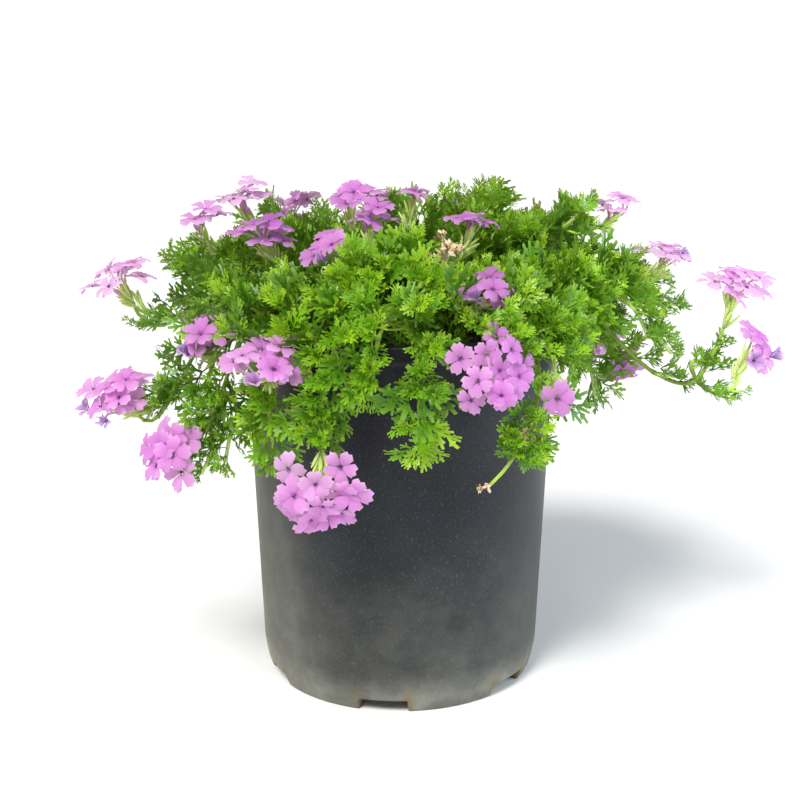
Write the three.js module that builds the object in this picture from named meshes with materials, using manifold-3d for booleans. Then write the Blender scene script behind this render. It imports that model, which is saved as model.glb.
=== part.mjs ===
// A garden verbena in a one-gallon nursery pot.
// A black blow-moulded pot stands on six feet. It is filled with potting mix, and the leafy stems of
// the plant stand in holes in the mix, arch over the rim and trail. Heads of five-petalled florets
// sit on their tips. Millimetres, +Z up. The pot's axis is the z axis of the nested group, and the
// whole plant is moved so that the origin lies under the middle of its spread.
import * as THREE from "three";
import { mergeVertices } from "three/addons/utils/BufferGeometryUtils.js";
import Module from "manifold-3d";

const wasm = await Module();
wasm.setup();

// Driving dimensions of the pot
const POT_HEIGHT = 196;
const RIM_RADIUS = 82.5;
const BASE_RADIUS = 74;
const WALL = 2;
const LIP_HEIGHT = 8;
const LIP_PROUD = 1.3;
const FOOT_HEIGHT = 7;
const FOOT_RADIUS = 70;
const FOOT_WIDTH = 8;
const CORNER_TOP = 15;
const FEET = 6;
const NOTCH_DEG = 20.5;
const FIRST_NOTCH_DEG = -97;
const DRAIN_SIZE = 10;
const CORNER_INSET = 1.7;
const RIM_CHAMFER = 1;
const POT_SIDES = 30;
const CLEARANCE = 0.3;

// Driving dimensions of the potting mix
const SOIL_TOP = 178;
const SOIL_DOME = 3;
const SOIL_SIDES = 18;
const SOIL_SLOPE_RADIUS = 60;
const SOIL_CROWN_RADIUS = 38;
const SOIL_WAVE = 1.2;
const SOIL_WAVE_TURNS = [0.23, 0.19];
const HOLE_DEPTH = 15;
const HOLE_RADIUS = 2.4;
const HOLE_SIDES = 4;

// Driving dimensions of the plant
const STEM_RADIUS = 1.2;
const SIDE_RADIUS = 0.95;
const STEM_SIDES = 4;
const STEM_STEP = 22;
const STEM_SUNK = 13;
const STRAIGHT_ABOVE_SOIL = 8;
const LEAF_LENGTH = 30;
const LEAF_THICKNESS = 1.3;
const LEAF_SPACING = 27;
const LEAF_FROM_HEAD = 8;
const LEAF_FROM_TIP = 2;
const LEAF_FROM_ROOT = 26;
const LEAF_FROM_FORK = 8;
const LEAF_LEAN = 0.45;
const LEAF_RISE = 0.1;
const LEAF_BEND = 0.42;
const LEAF_SAG = 0.3;
const LEAF_TEST_STEP = 0.16;
const SMALLEST_SHARE = 0.86;
const LARGEST_SHARE = 1.14;
const SHORTER = 0.78;
const LIGHT_HEIGHT = 60;
const LEAF_TURNS = [0, 0.4, -0.4, 0.8, -0.8, 1.3, -1.3, 1.9, -1.9, 2.5];
const FLORET_RADIUS = 8.2;
const SINUS_RADIUS = 3.1;
const PETALS = 5;
const PETAL_HALF_DEG = 19;
const PETAL_LIFT = 0.6;
const THROAT_RADIUS = 0.9;
const THROAT_DEPTH = 1.5;
const TUBE_RADIUS = 0.75;
const SMALLEST_REACH = 9.5;
const MIDDLE_RADIUS = 1.9;
const MOST_BEND_DEG = 42;
const CROWNED_LEAN_DEG = 72;
const SMALLEST_LEAN_DEG = 16;
const LEAN_PER_FLORET_DEG = 10;
const HEAD_TURNS = [0, 0.2, 0.4, 0.6, 0.8, 1, 1.2];
const FLORET_TURN = 0.5;
const SHARED_FACING = 0.35;
const WITHERED_SPIKES = 4;
const SPIKE_LEANS = [1.2, 0.5];
const SPIKE_LENGTH = 8;
const SPIKE_RADIUS = 1.3;
const CLEAR_OF_LEAF = 1.9;
const CLEAR_OF_FLORET = 1.8;
const LEAF_BALL = 1.5;
const FLORET_BALL = 1.6;
const SEED = 23;

// Half of a leaf's outline between its root and its tip, cut into lobes, and the place on its rib
// that sees all of it: x across, y along, as shares of the leaf's length.
const HALF_LEAF = [
  [0.04, 0.15],
  [0.4, 0.44],
  [0.07, 0.36],
  [0.33, 0.78],
  [0.065, 0.62],
];
const LEAF_MIDDLE = 0.3;

// The sprays. Each is one rooted stem: where it stands in the mix, the points that it passes, and
// the side shoots that leave it at one of those points. A head is how many florets it has, and the
// way that it faces.
const SPRAYS = {
  front_left: {
    root: [-16, -48],
    path: [[-22, -70, 205], [-30, -91, 199], [-36, -100, 174], [-37, -103, 155], [-37, -111, 143]],
    head: { florets: 6, faces: [0, -0.8, -0.45] },
  },
  front: {
    root: [6, -52],
    path: [[7, -74, 206], [8, -94, 197], [9, -103, 174], [9, -103, 152]],
    side: [{ at: 0, path: [[-6, -86, 208], [-12, -100, 196], [-14, -108, 178]] }],
  },
  front_right: {
    root: [24, -44],
    path: [[30, -64, 210], [38, -80, 209], [42, -91, 201], [43, -99, 190]],
    head: { florets: 6, faces: [0.1, -0.9, 0.35] },
  },
  front_right_low: {
    root: [40, -34],
    path: [
      [52, -60, 206], [62, -76, 200], [66, -87, 178], [60, -94, 158], [51, -98, 142],
      [43, -99, 133],
    ],
    head: { withered: true },
    side: [
      {
        at: 1,
        path: [[72, -79, 193], [74, -87, 178]],
        head: { florets: 1, faces: [0.3, -0.8, 0.1] },
      },
    ],
  },
  right_trailing: {
    root: [54, -14],
    path: [
      [76, -18, 207], [94, -21, 203], [112, -23, 184], [132, -23, 167], [150, -22, 162],
      [162, -20, 180], [169, -16, 201],
    ],
    head: { florets: 5, faces: [0.25, -0.2, 0.95] },
    side: [
      {
        at: 4,
        path: [[162, -28, 158], [171, -29, 162], [174, -28, 174]],
        head: { florets: 3, faces: [0.5, -0.6, 0.5] },
      },
    ],
  },
  right_low: {
    root: [56, 8],
    path: [[76, 8, 206], [92, 8, 200], [105, 8, 186], [112, 7, 174]],
    head: { florets: 3, faces: [0.5, -0.1, -0.8] },
  },
  right_upper: {
    root: [48, 20],
    path: [[68, 18, 211], [96, 14, 212], [119, 11, 203], [130, 10, 204], [133, 10, 212]],
    head: { florets: 4, faces: [0.25, -0.05, 0.95] },
    side: [{ at: 1, path: [[106, -4, 209], [121, -9, 198], [129, -10, 183]] }],
  },
  right_back: {
    root: [36, 30],
    path: [[54, 38, 216], [84, 42, 228], [104, 46, 230], [111, 48, 232]],
    head: { florets: 3, faces: [0.15, 0.1, 1] },
    side: [{ at: 1, path: [[88, 31, 234], [94, 26, 241]] }],
  },
  mound_right: {
    root: [20, 20],
    path: [[28, 26, 212], [40, 35, 232], [50, 42, 249]],
    side: [{ at: 0, path: [[44, 20, 224], [64, 15, 235]] }],
  },
  centre_right: {
    root: [16, -2],
    path: [[21, -2, 208], [30, 0, 221], [34, 0, 230]],
    head: { florets: 3, faces: [0.1, 0.1, 1] },
    side: [{ at: 0, path: [[21, -9, 216], [22, -12, 225]], head: { withered: true } }],
  },
  centre: {
    root: [-12, 2],
    path: [[-14, 4, 206], [-16, 8, 229]],
    head: { florets: 3, faces: [0.1, 0.05, 1] },
    side: [
      {
        at: 0,
        path: [[-24, -5, 213], [-31, -13, 220]],
        head: { florets: 4, faces: [-0.3, -0.5, 0.85] },
      },
      {
        at: 0,
        path: [[-20, 20, 216], [-25, 33, 236]],
        head: { florets: 3, faces: [-0.1, -0.2, 1] },
      },
    ],
  },
  back_centre: {
    root: [2, 30],
    path: [[4, 42, 214], [6, 50, 237]],
    head: { florets: 2, faces: [0.1, 0.15, 1] },
    side: [
      {
        at: 0,
        path: [[-6, 52, 224], [-12, 57, 235]],
        head: { florets: 1, faces: [-0.1, 0.2, 1] },
      },
    ],
  },
  left_mound: {
    root: [-30, 2],
    path: [[-42, 2, 207], [-60, 2, 209], [-66, 1, 223]],
    head: { florets: 4, faces: [-0.1, 0.05, 1] },
  },
  left_back: {
    root: [-36, 26],
    path: [[-52, 36, 212], [-72, 46, 226], [-82, 49, 234]],
    head: { florets: 4, faces: [-0.1, 0, 1] },
    side: [
      {
        at: 0,
        path: [[-78, 28, 215], [-95, 21, 215], [-102, 18, 229]],
        head: { florets: 3, faces: [-0.1, 0, 1] },
      },
    ],
  },
  left: {
    root: [-54, -2],
    path: [
      [-74, -2, 207], [-92, 0, 206], [-110, 3, 195], [-127, 5, 186], [-137, 6, 191], [-141, 6, 200],
    ],
    head: { florets: 5, faces: [-0.35, -0.1, 0.93] },
    side: [{ at: 1, path: [[-104, 12, 214], [-118, 16, 221]] }],
  },
  left_front: {
    root: [-40, -18],
    path: [[-60, -32, 208], [-78, -45, 192], [-87, -51, 177], [-91, -55, 185]],
    head: { florets: 4, faces: [-0.35, -0.3, 0.9] },
  },
  left_low: {
    root: [-52, -16],
    path: [
      [-70, -28, 206], [-88, -37, 203], [-103, -44, 182], [-114, -49, 162], [-125, -51, 150],
      [-134, -52, 156],
    ],
    head: { florets: 6, faces: [-0.45, -0.35, 0.8] },
  },
  left_lowest: {
    root: [-38, -36],
    path: [
      [-56, -50, 207], [-70, -60, 205], [-81, -67, 186], [-88, -69, 166], [-96, -71, 150],
      [-105, -74, 143],
    ],
    head: { florets: 5, faces: [-0.6, -0.7, 0.3] },
  },
  front_left_upper: {
    root: [-26, -36],
    path: [[-38, -54, 209], [-50, -69, 201], [-59, -81, 181], [-60, -88, 174], [-62, -93, 183]],
    head: { florets: 5, faces: [0, -0.45, 0.9] },
  },
  front_centre: {
    root: [10, -24],
    path: [[16, -34, 207], [27, -46, 207], [37, -56, 209]],
    head: { florets: 4, faces: [0.05, -0.5, 0.85] },
    side: [{ at: 0, path: [[12, -50, 218], [10, -66, 224]] }],
  },
  front_top: {
    root: [-8, -24],
    path: [[-10, -38, 212], [-16, -56, 220], [-24, -72, 220]],
    side: [
      { at: 0, path: [[2, -28, 226], [8, -30, 234]] },
      { at: 0, path: [[-26, -40, 222], [-38, -46, 228]] },
    ],
  },
  back_left: {
    root: [-20, 42],
    path: [[-32, 60, 212], [-48, 78, 220], [-56, 86, 222]],
    head: { florets: 4, faces: [-0.3, 0.5, 0.8] },
    side: [{ at: 0, path: [[-66, 68, 222], [-84, 72, 218]] }],
  },
  back: {
    root: [2, 54],
    path: [[3, 74, 208], [4, 92, 202], [2, 104, 178], [0, 109, 155]],
    head: { florets: 5, faces: [0, 0.6, -0.7] },
  },
  back_right: {
    root: [28, 46],
    path: [[40, 64, 212], [54, 82, 216], [61, 92, 214]],
    head: { florets: 4, faces: [0.3, 0.6, 0.7] },
    side: [{ at: 0, path: [[70, 68, 220], [88, 72, 214]] }],
  },
  left_back_low: {
    root: [-48, 28],
    path: [[-66, 42, 207], [-84, 56, 202], [-97, 68, 184], [-104, 76, 168]],
    head: { florets: 5, faces: [-0.6, 0.6, 0.2] },
  },
  right_back_low: {
    root: [52, 32],
    path: [[70, 46, 206], [88, 60, 201], [101, 73, 183], [107, 80, 165]],
    head: { florets: 5, faces: [0.6, 0.6, 0] },
  },
  back_top: {
    root: [12, 42],
    path: [[20, 60, 218], [26, 80, 226], [28, 92, 224]],
    head: { florets: 3, faces: [0, 0.4, 0.9] },
    side: [{ at: 0, path: [[0, 72, 226], [-14, 84, 228]] }],
  },
};

const MATERIALS = {
  plastic: new THREE.MeshStandardMaterial({ color: 0x2b2e31, roughness: 0.55, metalness: 0 }),
  soil: new THREE.MeshStandardMaterial({ color: 0x2a1f17, roughness: 0.95, metalness: 0 }),
  leaf: new THREE.MeshStandardMaterial({ color: 0x5f9a1f, roughness: 0.6, metalness: 0 }),
  petal: new THREE.MeshStandardMaterial({ color: 0xd583e0, roughness: 0.6, metalness: 0 }),
  withered: new THREE.MeshStandardMaterial({ color: 0xd2ab80, roughness: 0.9, metalness: 0 }),
};

// A seeded source of numbers from 0 to 1 (mulberry32)
function seeded(seed) {
  let state = seed >>> 0;
  return () => {
    state = (state + 0x6d2b79f5) >>> 0;
    let t = Math.imul(state ^ (state >>> 15), state | 1);
    t = (t + Math.imul(t ^ (t >>> 7), t | 61)) ^ t;
    return ((t ^ (t >>> 14)) >>> 0) / 4294967296;
  };
}

// A closed geometry as a solid that can be joined and cut
function solidOf(geometry) {
  const bare = new THREE.BufferGeometry().setAttribute(
    "position",
    (geometry.index ? geometry.toNonIndexed() : geometry).getAttribute("position"),
  );
  const merged = mergeVertices(bare, 1e-4);
  return new wasm.Manifold(
    new wasm.Mesh({
      numProp: 3,
      vertProperties: merged.attributes.position.array,
      triVerts: new Uint32Array(merged.index.array),
    }),
  );
}

function geometryOf(solid) {
  const mesh = solid.getMesh();
  const geometry = new THREE.BufferGeometry();
  geometry.setAttribute("position", new THREE.BufferAttribute(mesh.vertProperties, 3));
  geometry.setIndex(new THREE.BufferAttribute(mesh.triVerts, 1));
  return geometry;
}

function joined(solids) {
  return wasm.Manifold.union(solids);
}

function named(name, solid, material) {
  const mesh = new THREE.Mesh(geometryOf(solid), MATERIALS[material]);
  mesh.name = name;
  return mesh;
}

// The radius of the pot's outside at height z, from the corner above its feet to its rim
function potRadius(z) {
  const share = (z - CORNER_TOP) / (POT_HEIGHT - CORNER_TOP);
  return BASE_RADIUS + (RIM_RADIUS - LIP_PROUD - BASE_RADIUS) * share;
}

// A form turned about z from [radius, height] pairs that start and end on the axis
function turnedGeometry(profile, sides) {
  const points = profile.map(([r, z]) => new THREE.Vector2(r, z));
  const lathe = new THREE.LatheGeometry(points, sides);
  lathe.rotateX(Math.PI / 2);
  return lathe;
}

function box(size, centre, turn) {
  const block = new THREE.BoxGeometry(...size);
  block.translate(...centre);
  block.rotateZ(turn);
  return solidOf(block);
}

// The pot: a turned shell whose foot ring is cut into six feet, with a drain hole over each notch
function makePot() {
  const lipBottom = POT_HEIGHT - LIP_HEIGHT;
  const floorTop = FOOT_HEIGHT + WALL;
  const shell = turnedGeometry(
    [
      [0, FOOT_HEIGHT],
      [FOOT_RADIUS - FOOT_WIDTH, FOOT_HEIGHT],
      [FOOT_RADIUS - FOOT_WIDTH, 0],
      [FOOT_RADIUS, 0],
      [BASE_RADIUS - CORNER_INSET, FOOT_HEIGHT - 1],
      [BASE_RADIUS, CORNER_TOP],
      [potRadius(lipBottom - LIP_PROUD), lipBottom - LIP_PROUD],
      [RIM_RADIUS, lipBottom],
      [RIM_RADIUS, POT_HEIGHT - RIM_CHAMFER],
      [RIM_RADIUS - RIM_CHAMFER, POT_HEIGHT],
      [RIM_RADIUS - LIP_PROUD - WALL, POT_HEIGHT],
      [potRadius(CORNER_TOP) - WALL, CORNER_TOP],
      [FOOT_RADIUS - WALL, floorTop],
      [0, floorTop],
    ],
    POT_SIDES,
  );
  const cuts = [];
  const notchReach = 2 * (RIM_RADIUS - FOOT_RADIUS);
  const notchWidth = 2 * FOOT_RADIUS * Math.sin(THREE.MathUtils.degToRad(NOTCH_DEG / 2));
  for (let i = 0; i < FEET; i += 1) {
    const turn = THREE.MathUtils.degToRad(FIRST_NOTCH_DEG + (360 / FEET) * i);
    cuts.push(box([notchReach, notchWidth, 2 * FOOT_HEIGHT], [FOOT_RADIUS, 0, 0], turn));
    const drainCentre = [FOOT_RADIUS - FOOT_WIDTH, 0, FOOT_HEIGHT];
    cuts.push(box([DRAIN_SIZE, DRAIN_SIZE, 6 * WALL], drainCentre, turn));
  }
  return solidOf(shell).subtract(joined(cuts));
}

// The potting mix: a turned plug that fits the pot, uneven on top, with a hole for each stem
function makeSoil() {
  const bottom = FOOT_HEIGHT + WALL + CLEARANCE;
  const shoulder = SOIL_TOP - SOIL_DOME;
  const fit = WALL + 2 * CLEARANCE;
  const plug = turnedGeometry(
    [
      [0, bottom],
      [FOOT_RADIUS - WALL - 1, bottom],
      [potRadius(CORNER_TOP) - fit, CORNER_TOP + 2],
      [potRadius(shoulder) - fit, shoulder],
      [SOIL_SLOPE_RADIUS, SOIL_TOP - SOIL_DOME / 3],
      [SOIL_CROWN_RADIUS, SOIL_TOP],
      [0, SOIL_TOP],
    ],
    SOIL_SIDES,
  );
  const place = plug.getAttribute("position");
  const [turnX, turnY] = SOIL_WAVE_TURNS;
  for (let i = 0; i < place.count; i += 1) {
    const [x, y, z] = [place.getX(i), place.getY(i), place.getZ(i)];
    if (z <= shoulder) continue;
    place.setZ(i, z + SOIL_WAVE * Math.sin(x * turnX + 1) * Math.cos(y * turnY));
  }
  const holes = Object.values(SPRAYS).map(({ root }) => {
    const hole = new THREE.CylinderGeometry(HOLE_RADIUS, HOLE_RADIUS, 2 * HOLE_DEPTH, HOLE_SIDES);
    hole.rotateX(Math.PI / 2);
    hole.translate(root[0], root[1], SOIL_TOP);
    return solidOf(hole);
  });
  return solidOf(plug).subtract(joined(holes));
}

// What is already taken up, as balls in a grid of cubes, so that leaves and florets stay clear
class Room {
  constructor() {
    this.side = 8;
    this.cubes = new Map();
  }

  cubeOf(point) {
    return point.toArray().map((v) => Math.floor(v / this.side));
  }

  take(owner, points, radius) {
    for (const point of points) {
      const key = this.cubeOf(point).join();
      if (!this.cubes.has(key)) this.cubes.set(key, []);
      this.cubes.get(key).push({ owner, point, radius });
    }
  }

  ballsNear(point) {
    const [i, j, k] = this.cubeOf(point);
    const steps = [-1, 0, 1];
    return steps.flatMap((a) =>
      steps.flatMap((b) =>
        steps.flatMap((c) => this.cubes.get([i + a, j + b, k + c].join()) ?? []),
      ),
    );
  }

  // True if none of the points comes within its distance of a ball. Balls of the same owner count
  // only for points further than ownFrom from start, where the new piece grows out of its stem.
  isFree(owner, points, distance, start, ownFrom) {
    return points.every((point) => {
      const growsHere = point.distanceTo(start) < ownFrom;
      return (
        clearOfPot(point, distance / 2) &&
        this.ballsNear(point).every(
          (ball) =>
            (ball.owner === owner && growsHere) ||
            ball.point.distanceTo(point) >= ball.radius + distance,
        )
      );
    });
  }
}

// True above the rim, outside the pot, and between its wall and the top of the mix
function clearOfPot(point, margin) {
  const radius = Math.hypot(point.x, point.y);
  const above = point.z > POT_HEIGHT + margin;
  const outside = radius > RIM_RADIUS + margin;
  const overSoil = point.z > SOIL_TOP + 2 * SOIL_WAVE + margin;
  const inside = radius < potRadius(point.z) - WALL - margin && overSoil;
  return above || outside || inside;
}

const UP = new THREE.Vector3(0, 0, 1);

// The smooth line of a stem: straight down in its hole, then through its points
function rootedLine(root, path) {
  const [x, y] = root;
  const points = [
    [x, y, SOIL_TOP - STEM_SUNK],
    [x, y, SOIL_TOP - STEM_SUNK / 2],
    [x, y, SOIL_TOP + STRAIGHT_ABOVE_SOIL],
    ...path,
  ];
  return new THREE.CatmullRomCurve3(points.map((p) => new THREE.Vector3(...p)));
}

// The smooth line of a side shoot, from the joint of its stem that is nearest to the place given
function sideLine(stem, place, path) {
  const near = new THREE.Vector3(...place);
  const joints = stem.getSpacedPoints(stemSteps(stem));
  joints.sort((a, b) => a.distanceTo(near) - b.distanceTo(near));
  return new THREE.CatmullRomCurve3([joints[0], ...path.map((p) => new THREE.Vector3(...p))]);
}

function stemSteps(line) {
  return Math.max(2, Math.round(line.getLength() / STEM_STEP));
}

// The place on a stem's straight pieces at a share of its length
function onStem(line, share) {
  const joints = line.getSpacedPoints(stemSteps(line));
  const place = Math.min(share, 0.9999) * (joints.length - 1);
  const before = Math.floor(place);
  return joints[before].clone().lerp(joints[before + 1], place - before);
}

// A stem: its four-sided section drawn along its line
function stemSolid(line, radius) {
  const section = new THREE.Shape();
  const corners = Array.from({ length: STEM_SIDES }, (_, i) => (2 * Math.PI * i) / STEM_SIDES);
  section.setFromPoints(
    corners.map((a) => new THREE.Vector2(radius * Math.cos(a), radius * Math.sin(a))),
  );
  const options = { steps: stemSteps(line), bevelEnabled: false, extrudePath: line };
  return solidOf(new THREE.ExtrudeGeometry(section, options));
}

// A basis whose y runs along a leaf and whose z is its upper side
function leafBasis(root, along, upper) {
  const y = along.clone().normalize();
  const x = y.clone().cross(upper).normalize();
  const z = x.clone().cross(y);
  return new THREE.Matrix4().makeBasis(x, y, z).setPosition(root);
}

// The height of a leaf's arch above its root at a place on it: it rises and then bends over
function leafArch(x, y, length) {
  return LEAF_RISE * y - (LEAF_BEND * y * y) / length - (LEAF_SAG * x * x) / length;
}

// A leaf: one thin arched blade whose outline is cut into five pointed lobes. Both faces are split
// alike, into triangles round the middle of the rib, where the blade has its full thickness.
function leafGeometry(length) {
  const left = HALF_LEAF.map(([x, y]) => [-x, y]).reverse();
  const outline = [[0, 0], ...HALF_LEAF, [0, 1], ...left].map(([x, y]) => [x * length, y * length]);
  const middle = LEAF_MIDDLE * length;
  const points = outline.map(([x, y]) => [x, y, leafArch(x, y, length)]);
  for (const side of [1, -1]) {
    points.push([0, middle, leafArch(0, middle, length) + (side * LEAF_THICKNESS) / 2]);
  }
  const n = outline.length;
  const faces = outline.flatMap((_, i) => {
    const next = (i + 1) % n;
    return [i, next, n, next, i, n + 1];
  });
  const geometry = new THREE.BufferGeometry();
  geometry.setAttribute("position", new THREE.Float32BufferAttribute(points.flat(), 3));
  geometry.setIndex(faces);
  return geometry;
}

// Points spread over a leaf's lobes, for testing that it is clear of other pieces
function leafPoints(length, basis) {
  const points = [];
  const [, firstLobe, firstNotch, secondLobe, secondNotch] = HALF_LEAF;
  const lobes = [[0, 1, 0], [...firstLobe, HALF_LEAF[0][1]], [...secondLobe, firstNotch[1]]];
  for (const [tipX, tipY, rootY] of lobes) {
    for (const side of tipX ? [-1, 1] : [1]) {
      for (let t = 0; t <= 1; t += LEAF_TEST_STEP) {
        const x = side * tipX * length * t;
        const y = (tipX ? rootY + (tipY - rootY) * t : t) * length;
        points.push(new THREE.Vector3(x, y, leafArch(x, y, length)).applyMatrix4(basis));
      }
    }
  }
  return points;
}

// A floret: five blunt petals round a throat, thin as a lens, and its tube down to the middle of
// the head. Rings of points are joined by triangles: the petals' edge, the throat and the tube.
function floretGeometry(basis, middle, turn) {
  const half = THREE.MathUtils.degToRad(PETAL_HALF_DEG);
  const polar = (r, a, z) => new THREE.Vector3(r * Math.cos(a), r * Math.sin(a), z);
  const petals = Array.from({ length: PETALS }, (_, i) => turn + (2 * Math.PI * i) / PETALS);
  const edge = petals.flatMap((a) => [
    polar(FLORET_RADIUS, a - half, PETAL_LIFT),
    polar(FLORET_RADIUS, a + half, PETAL_LIFT),
    polar(SINUS_RADIUS, a + Math.PI / PETALS, 0),
  ]);
  const corners = [0.17, 1.17, 2.17].map((k) => turn + (2 * Math.PI * k) / 3);
  const throatRing = corners.map((a) => polar(THROAT_RADIUS, a, -THROAT_DEPTH));
  const face = [new THREE.Vector3(0, 0, -0.2), ...edge, ...throatRing];
  const inPlace = face.map((p) => p.applyMatrix4(basis));
  const turnOnly = new THREE.Matrix4().extractRotation(basis);
  const tubeRing = corners.map((a) => polar(TUBE_RADIUS, a, 0).applyMatrix4(turnOnly).add(middle));

  const n = edge.length;
  const [throat, tube] = [1 + n, 4 + n];
  const faces = [];
  for (let i = 0; i < n; i += 1) {
    const next = (i + 1) % n;
    const under = Math.floor((i * 3) / n);
    faces.push([0, 1 + i, 1 + next], [1 + next, 1 + i, throat + under]);
    if (next % 5 === 0) faces.push([1 + next, throat + under, throat + ((under + 1) % 3)]);
  }
  for (let k = 0; k < 3; k += 1) {
    const next = (k + 1) % 3;
    faces.push([throat + k, tube + k, tube + next], [throat + k, tube + next, throat + next]);
  }
  faces.push([tube, tube + 2, tube + 1]);
  const geometry = new THREE.BufferGeometry().setFromPoints([...inPlace, ...tubeRing]);
  geometry.setIndex(faces.flat());
  return geometry;
}

// Where the florets of a head stand round its middle: one ahead, and the others in a ring
function floretDirections(count, axis, turn) {
  const sideways = new THREE.Vector3(0.3, 1, 0.2).cross(axis).normalize();
  const crowned = count > 4;
  const ringed = crowned ? count - 1 : count;
  const openLean = SMALLEST_LEAN_DEG + LEAN_PER_FLORET_DEG * count;
  const lean = THREE.MathUtils.degToRad(crowned ? CROWNED_LEAN_DEG : openLean);
  const directions = crowned ? [axis.clone()] : [];
  for (let i = 0; i < ringed; i += 1) {
    const d = axis.clone().applyAxisAngle(sideways, lean);
    directions.push(d.applyAxisAngle(axis, (2 * Math.PI * i) / ringed + turn));
  }
  return directions;
}

// A floret's place and facing on its head, and points over its petals for testing its clearance
function placedFloret(middle, out, axis, reach) {
  const faces = out.clone().lerp(axis, SHARED_FACING).normalize();
  const place = middle.clone().addScaledVector(out, reach);
  const basis = leafBasis(place, new THREE.Vector3(0.2, 0.3, 1).cross(faces), faces);
  const points = [place.clone()];
  for (let k = 0; k < 2 * PETALS; k += 1) {
    const a = (Math.PI * k) / PETALS;
    const radius = k % 2 ? FLORET_RADIUS / 2 : FLORET_RADIUS - 0.5;
    const onPetal = new THREE.Vector3(radius * Math.cos(a), radius * Math.sin(a), 0);
    points.push(onPetal.applyMatrix4(basis));
  }
  const tube = [0.35, 0.6, 0.85].map((t) => middle.clone().lerp(place, t));
  return { basis, points, tube };
}

// The direction wanted, or the nearest to it that bends no more than a head can from its stem
function bentFrom(stemward, wanted) {
  const most = THREE.MathUtils.degToRad(MOST_BEND_DEG);
  const angle = stemward.angleTo(wanted);
  if (angle <= most) return wanted;
  const hinge = stemward.clone().cross(wanted).normalize();
  return stemward.clone().applyAxisAngle(hinge, most);
}

// The middle of a head: where it lies just past a stem's tip, and its small solid, point down
function headMiddle(line) {
  const [before, tip] = line.getSpacedPoints(stemSteps(line)).slice(-2);
  const stemward = tip.clone().sub(before).normalize();
  const middle = tip.clone().addScaledVector(stemward, MIDDLE_RADIUS + CLEARANCE);
  const core = new THREE.OctahedronGeometry(MIDDLE_RADIUS);
  const upper = Math.abs(stemward.z) < 0.9 ? UP : new THREE.Vector3(0, 1, 0);
  core.applyMatrix4(leafBasis(middle, stemward, upper));
  return { middle, stemward, core: solidOf(core) };
}

// A withered head that has lost its petals: dry pointed sleeves in a tuft
function makeWithered(name, room, line) {
  const { middle, stemward, core } = headMiddle(line);
  const sideways = new THREE.Vector3(0.3, 1, 0.2).cross(stemward).normalize();
  const solids = [core];
  for (let i = 0; i < WITHERED_SPIKES; i += 1) {
    const out = stemward.clone().applyAxisAngle(sideways, SPIKE_LEANS[i % 2]);
    out.applyAxisAngle(stemward, (2 * Math.PI * i) / WITHERED_SPIKES);
    const spike = new THREE.ConeGeometry(SPIKE_RADIUS, SPIKE_LENGTH, 3);
    spike.translate(0, SPIKE_LENGTH / 2, 0);
    spike.applyMatrix4(leafBasis(middle, out, stemward));
    solids.push(solidOf(spike));
  }
  room.take(name, [middle], SPIKE_LENGTH);
  return joined(solids);
}

// A head of florets on a stem's tip, on one small middle. Of a few ways to turn it, the one that
// keeps most of its florets clear of other pieces is used.
function makeHead(name, room, line, head) {
  const { middle, stemward, core } = headMiddle(line);
  const axis = bentFrom(stemward, new THREE.Vector3(...head.faces).normalize());
  const reach = SMALLEST_REACH + head.florets;
  let florets = [];
  for (const turn of HEAD_TURNS) {
    const clear = floretDirections(head.florets, axis, turn)
      .map((out) => placedFloret(middle, out, axis, reach))
      .filter(({ points }) => room.isFree(name, points, CLEAR_OF_FLORET, middle, Infinity));
    if (clear.length > florets.length) florets = clear;
  }
  const solids = [core];
  florets.forEach(({ basis, points, tube }, i) => {
    room.take(name, points, FLORET_BALL);
    room.take(name, tube, THROAT_RADIUS);
    solids.push(solidOf(floretGeometry(basis, middle, i * FLORET_TURN)));
  });
  room.take(name, [middle], MIDDLE_RADIUS);
  return joined(solids);
}

// Every stem line of a spray: the rooted stem first, then its side shoots
function sprayLines(spray) {
  const stem = rootedLine(spray.root, spray.path);
  const lines = [{ line: stem, radius: STEM_RADIUS, head: spray.head }];
  for (const side of spray.side ?? []) {
    const line = sideLine(stem, spray.path[side.at], side.path);
    lines.push({ line, radius: SIDE_RADIUS, head: side.head });
  }
  return lines;
}

// Points along a stem's straight pieces
function along(line, step) {
  const count = Math.ceil(line.getLength() / step);
  return Array.from({ length: count + 1 }, (_, i) => onStem(line, i / count));
}

// Where leaves may grow on a line: pairs on opposite sides, each pair turned from the one before
function leafSlots(entry, random) {
  const length = entry.line.getLength();
  const slots = [];
  const end = length - (entry.head ? LEAF_FROM_HEAD : LEAF_FROM_TIP);
  const start = entry.radius === STEM_RADIUS ? LEAF_FROM_ROOT : LEAF_FROM_FORK;
  for (let s = end; s > start; s -= LEAF_SPACING) {
    const turn = ((slots.length % 4) * Math.PI) / 4 + random();
    for (const half of [0, Math.PI]) slots.push({ ...entry, share: s / length, turn: turn + half });
  }
  return slots;
}

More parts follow.
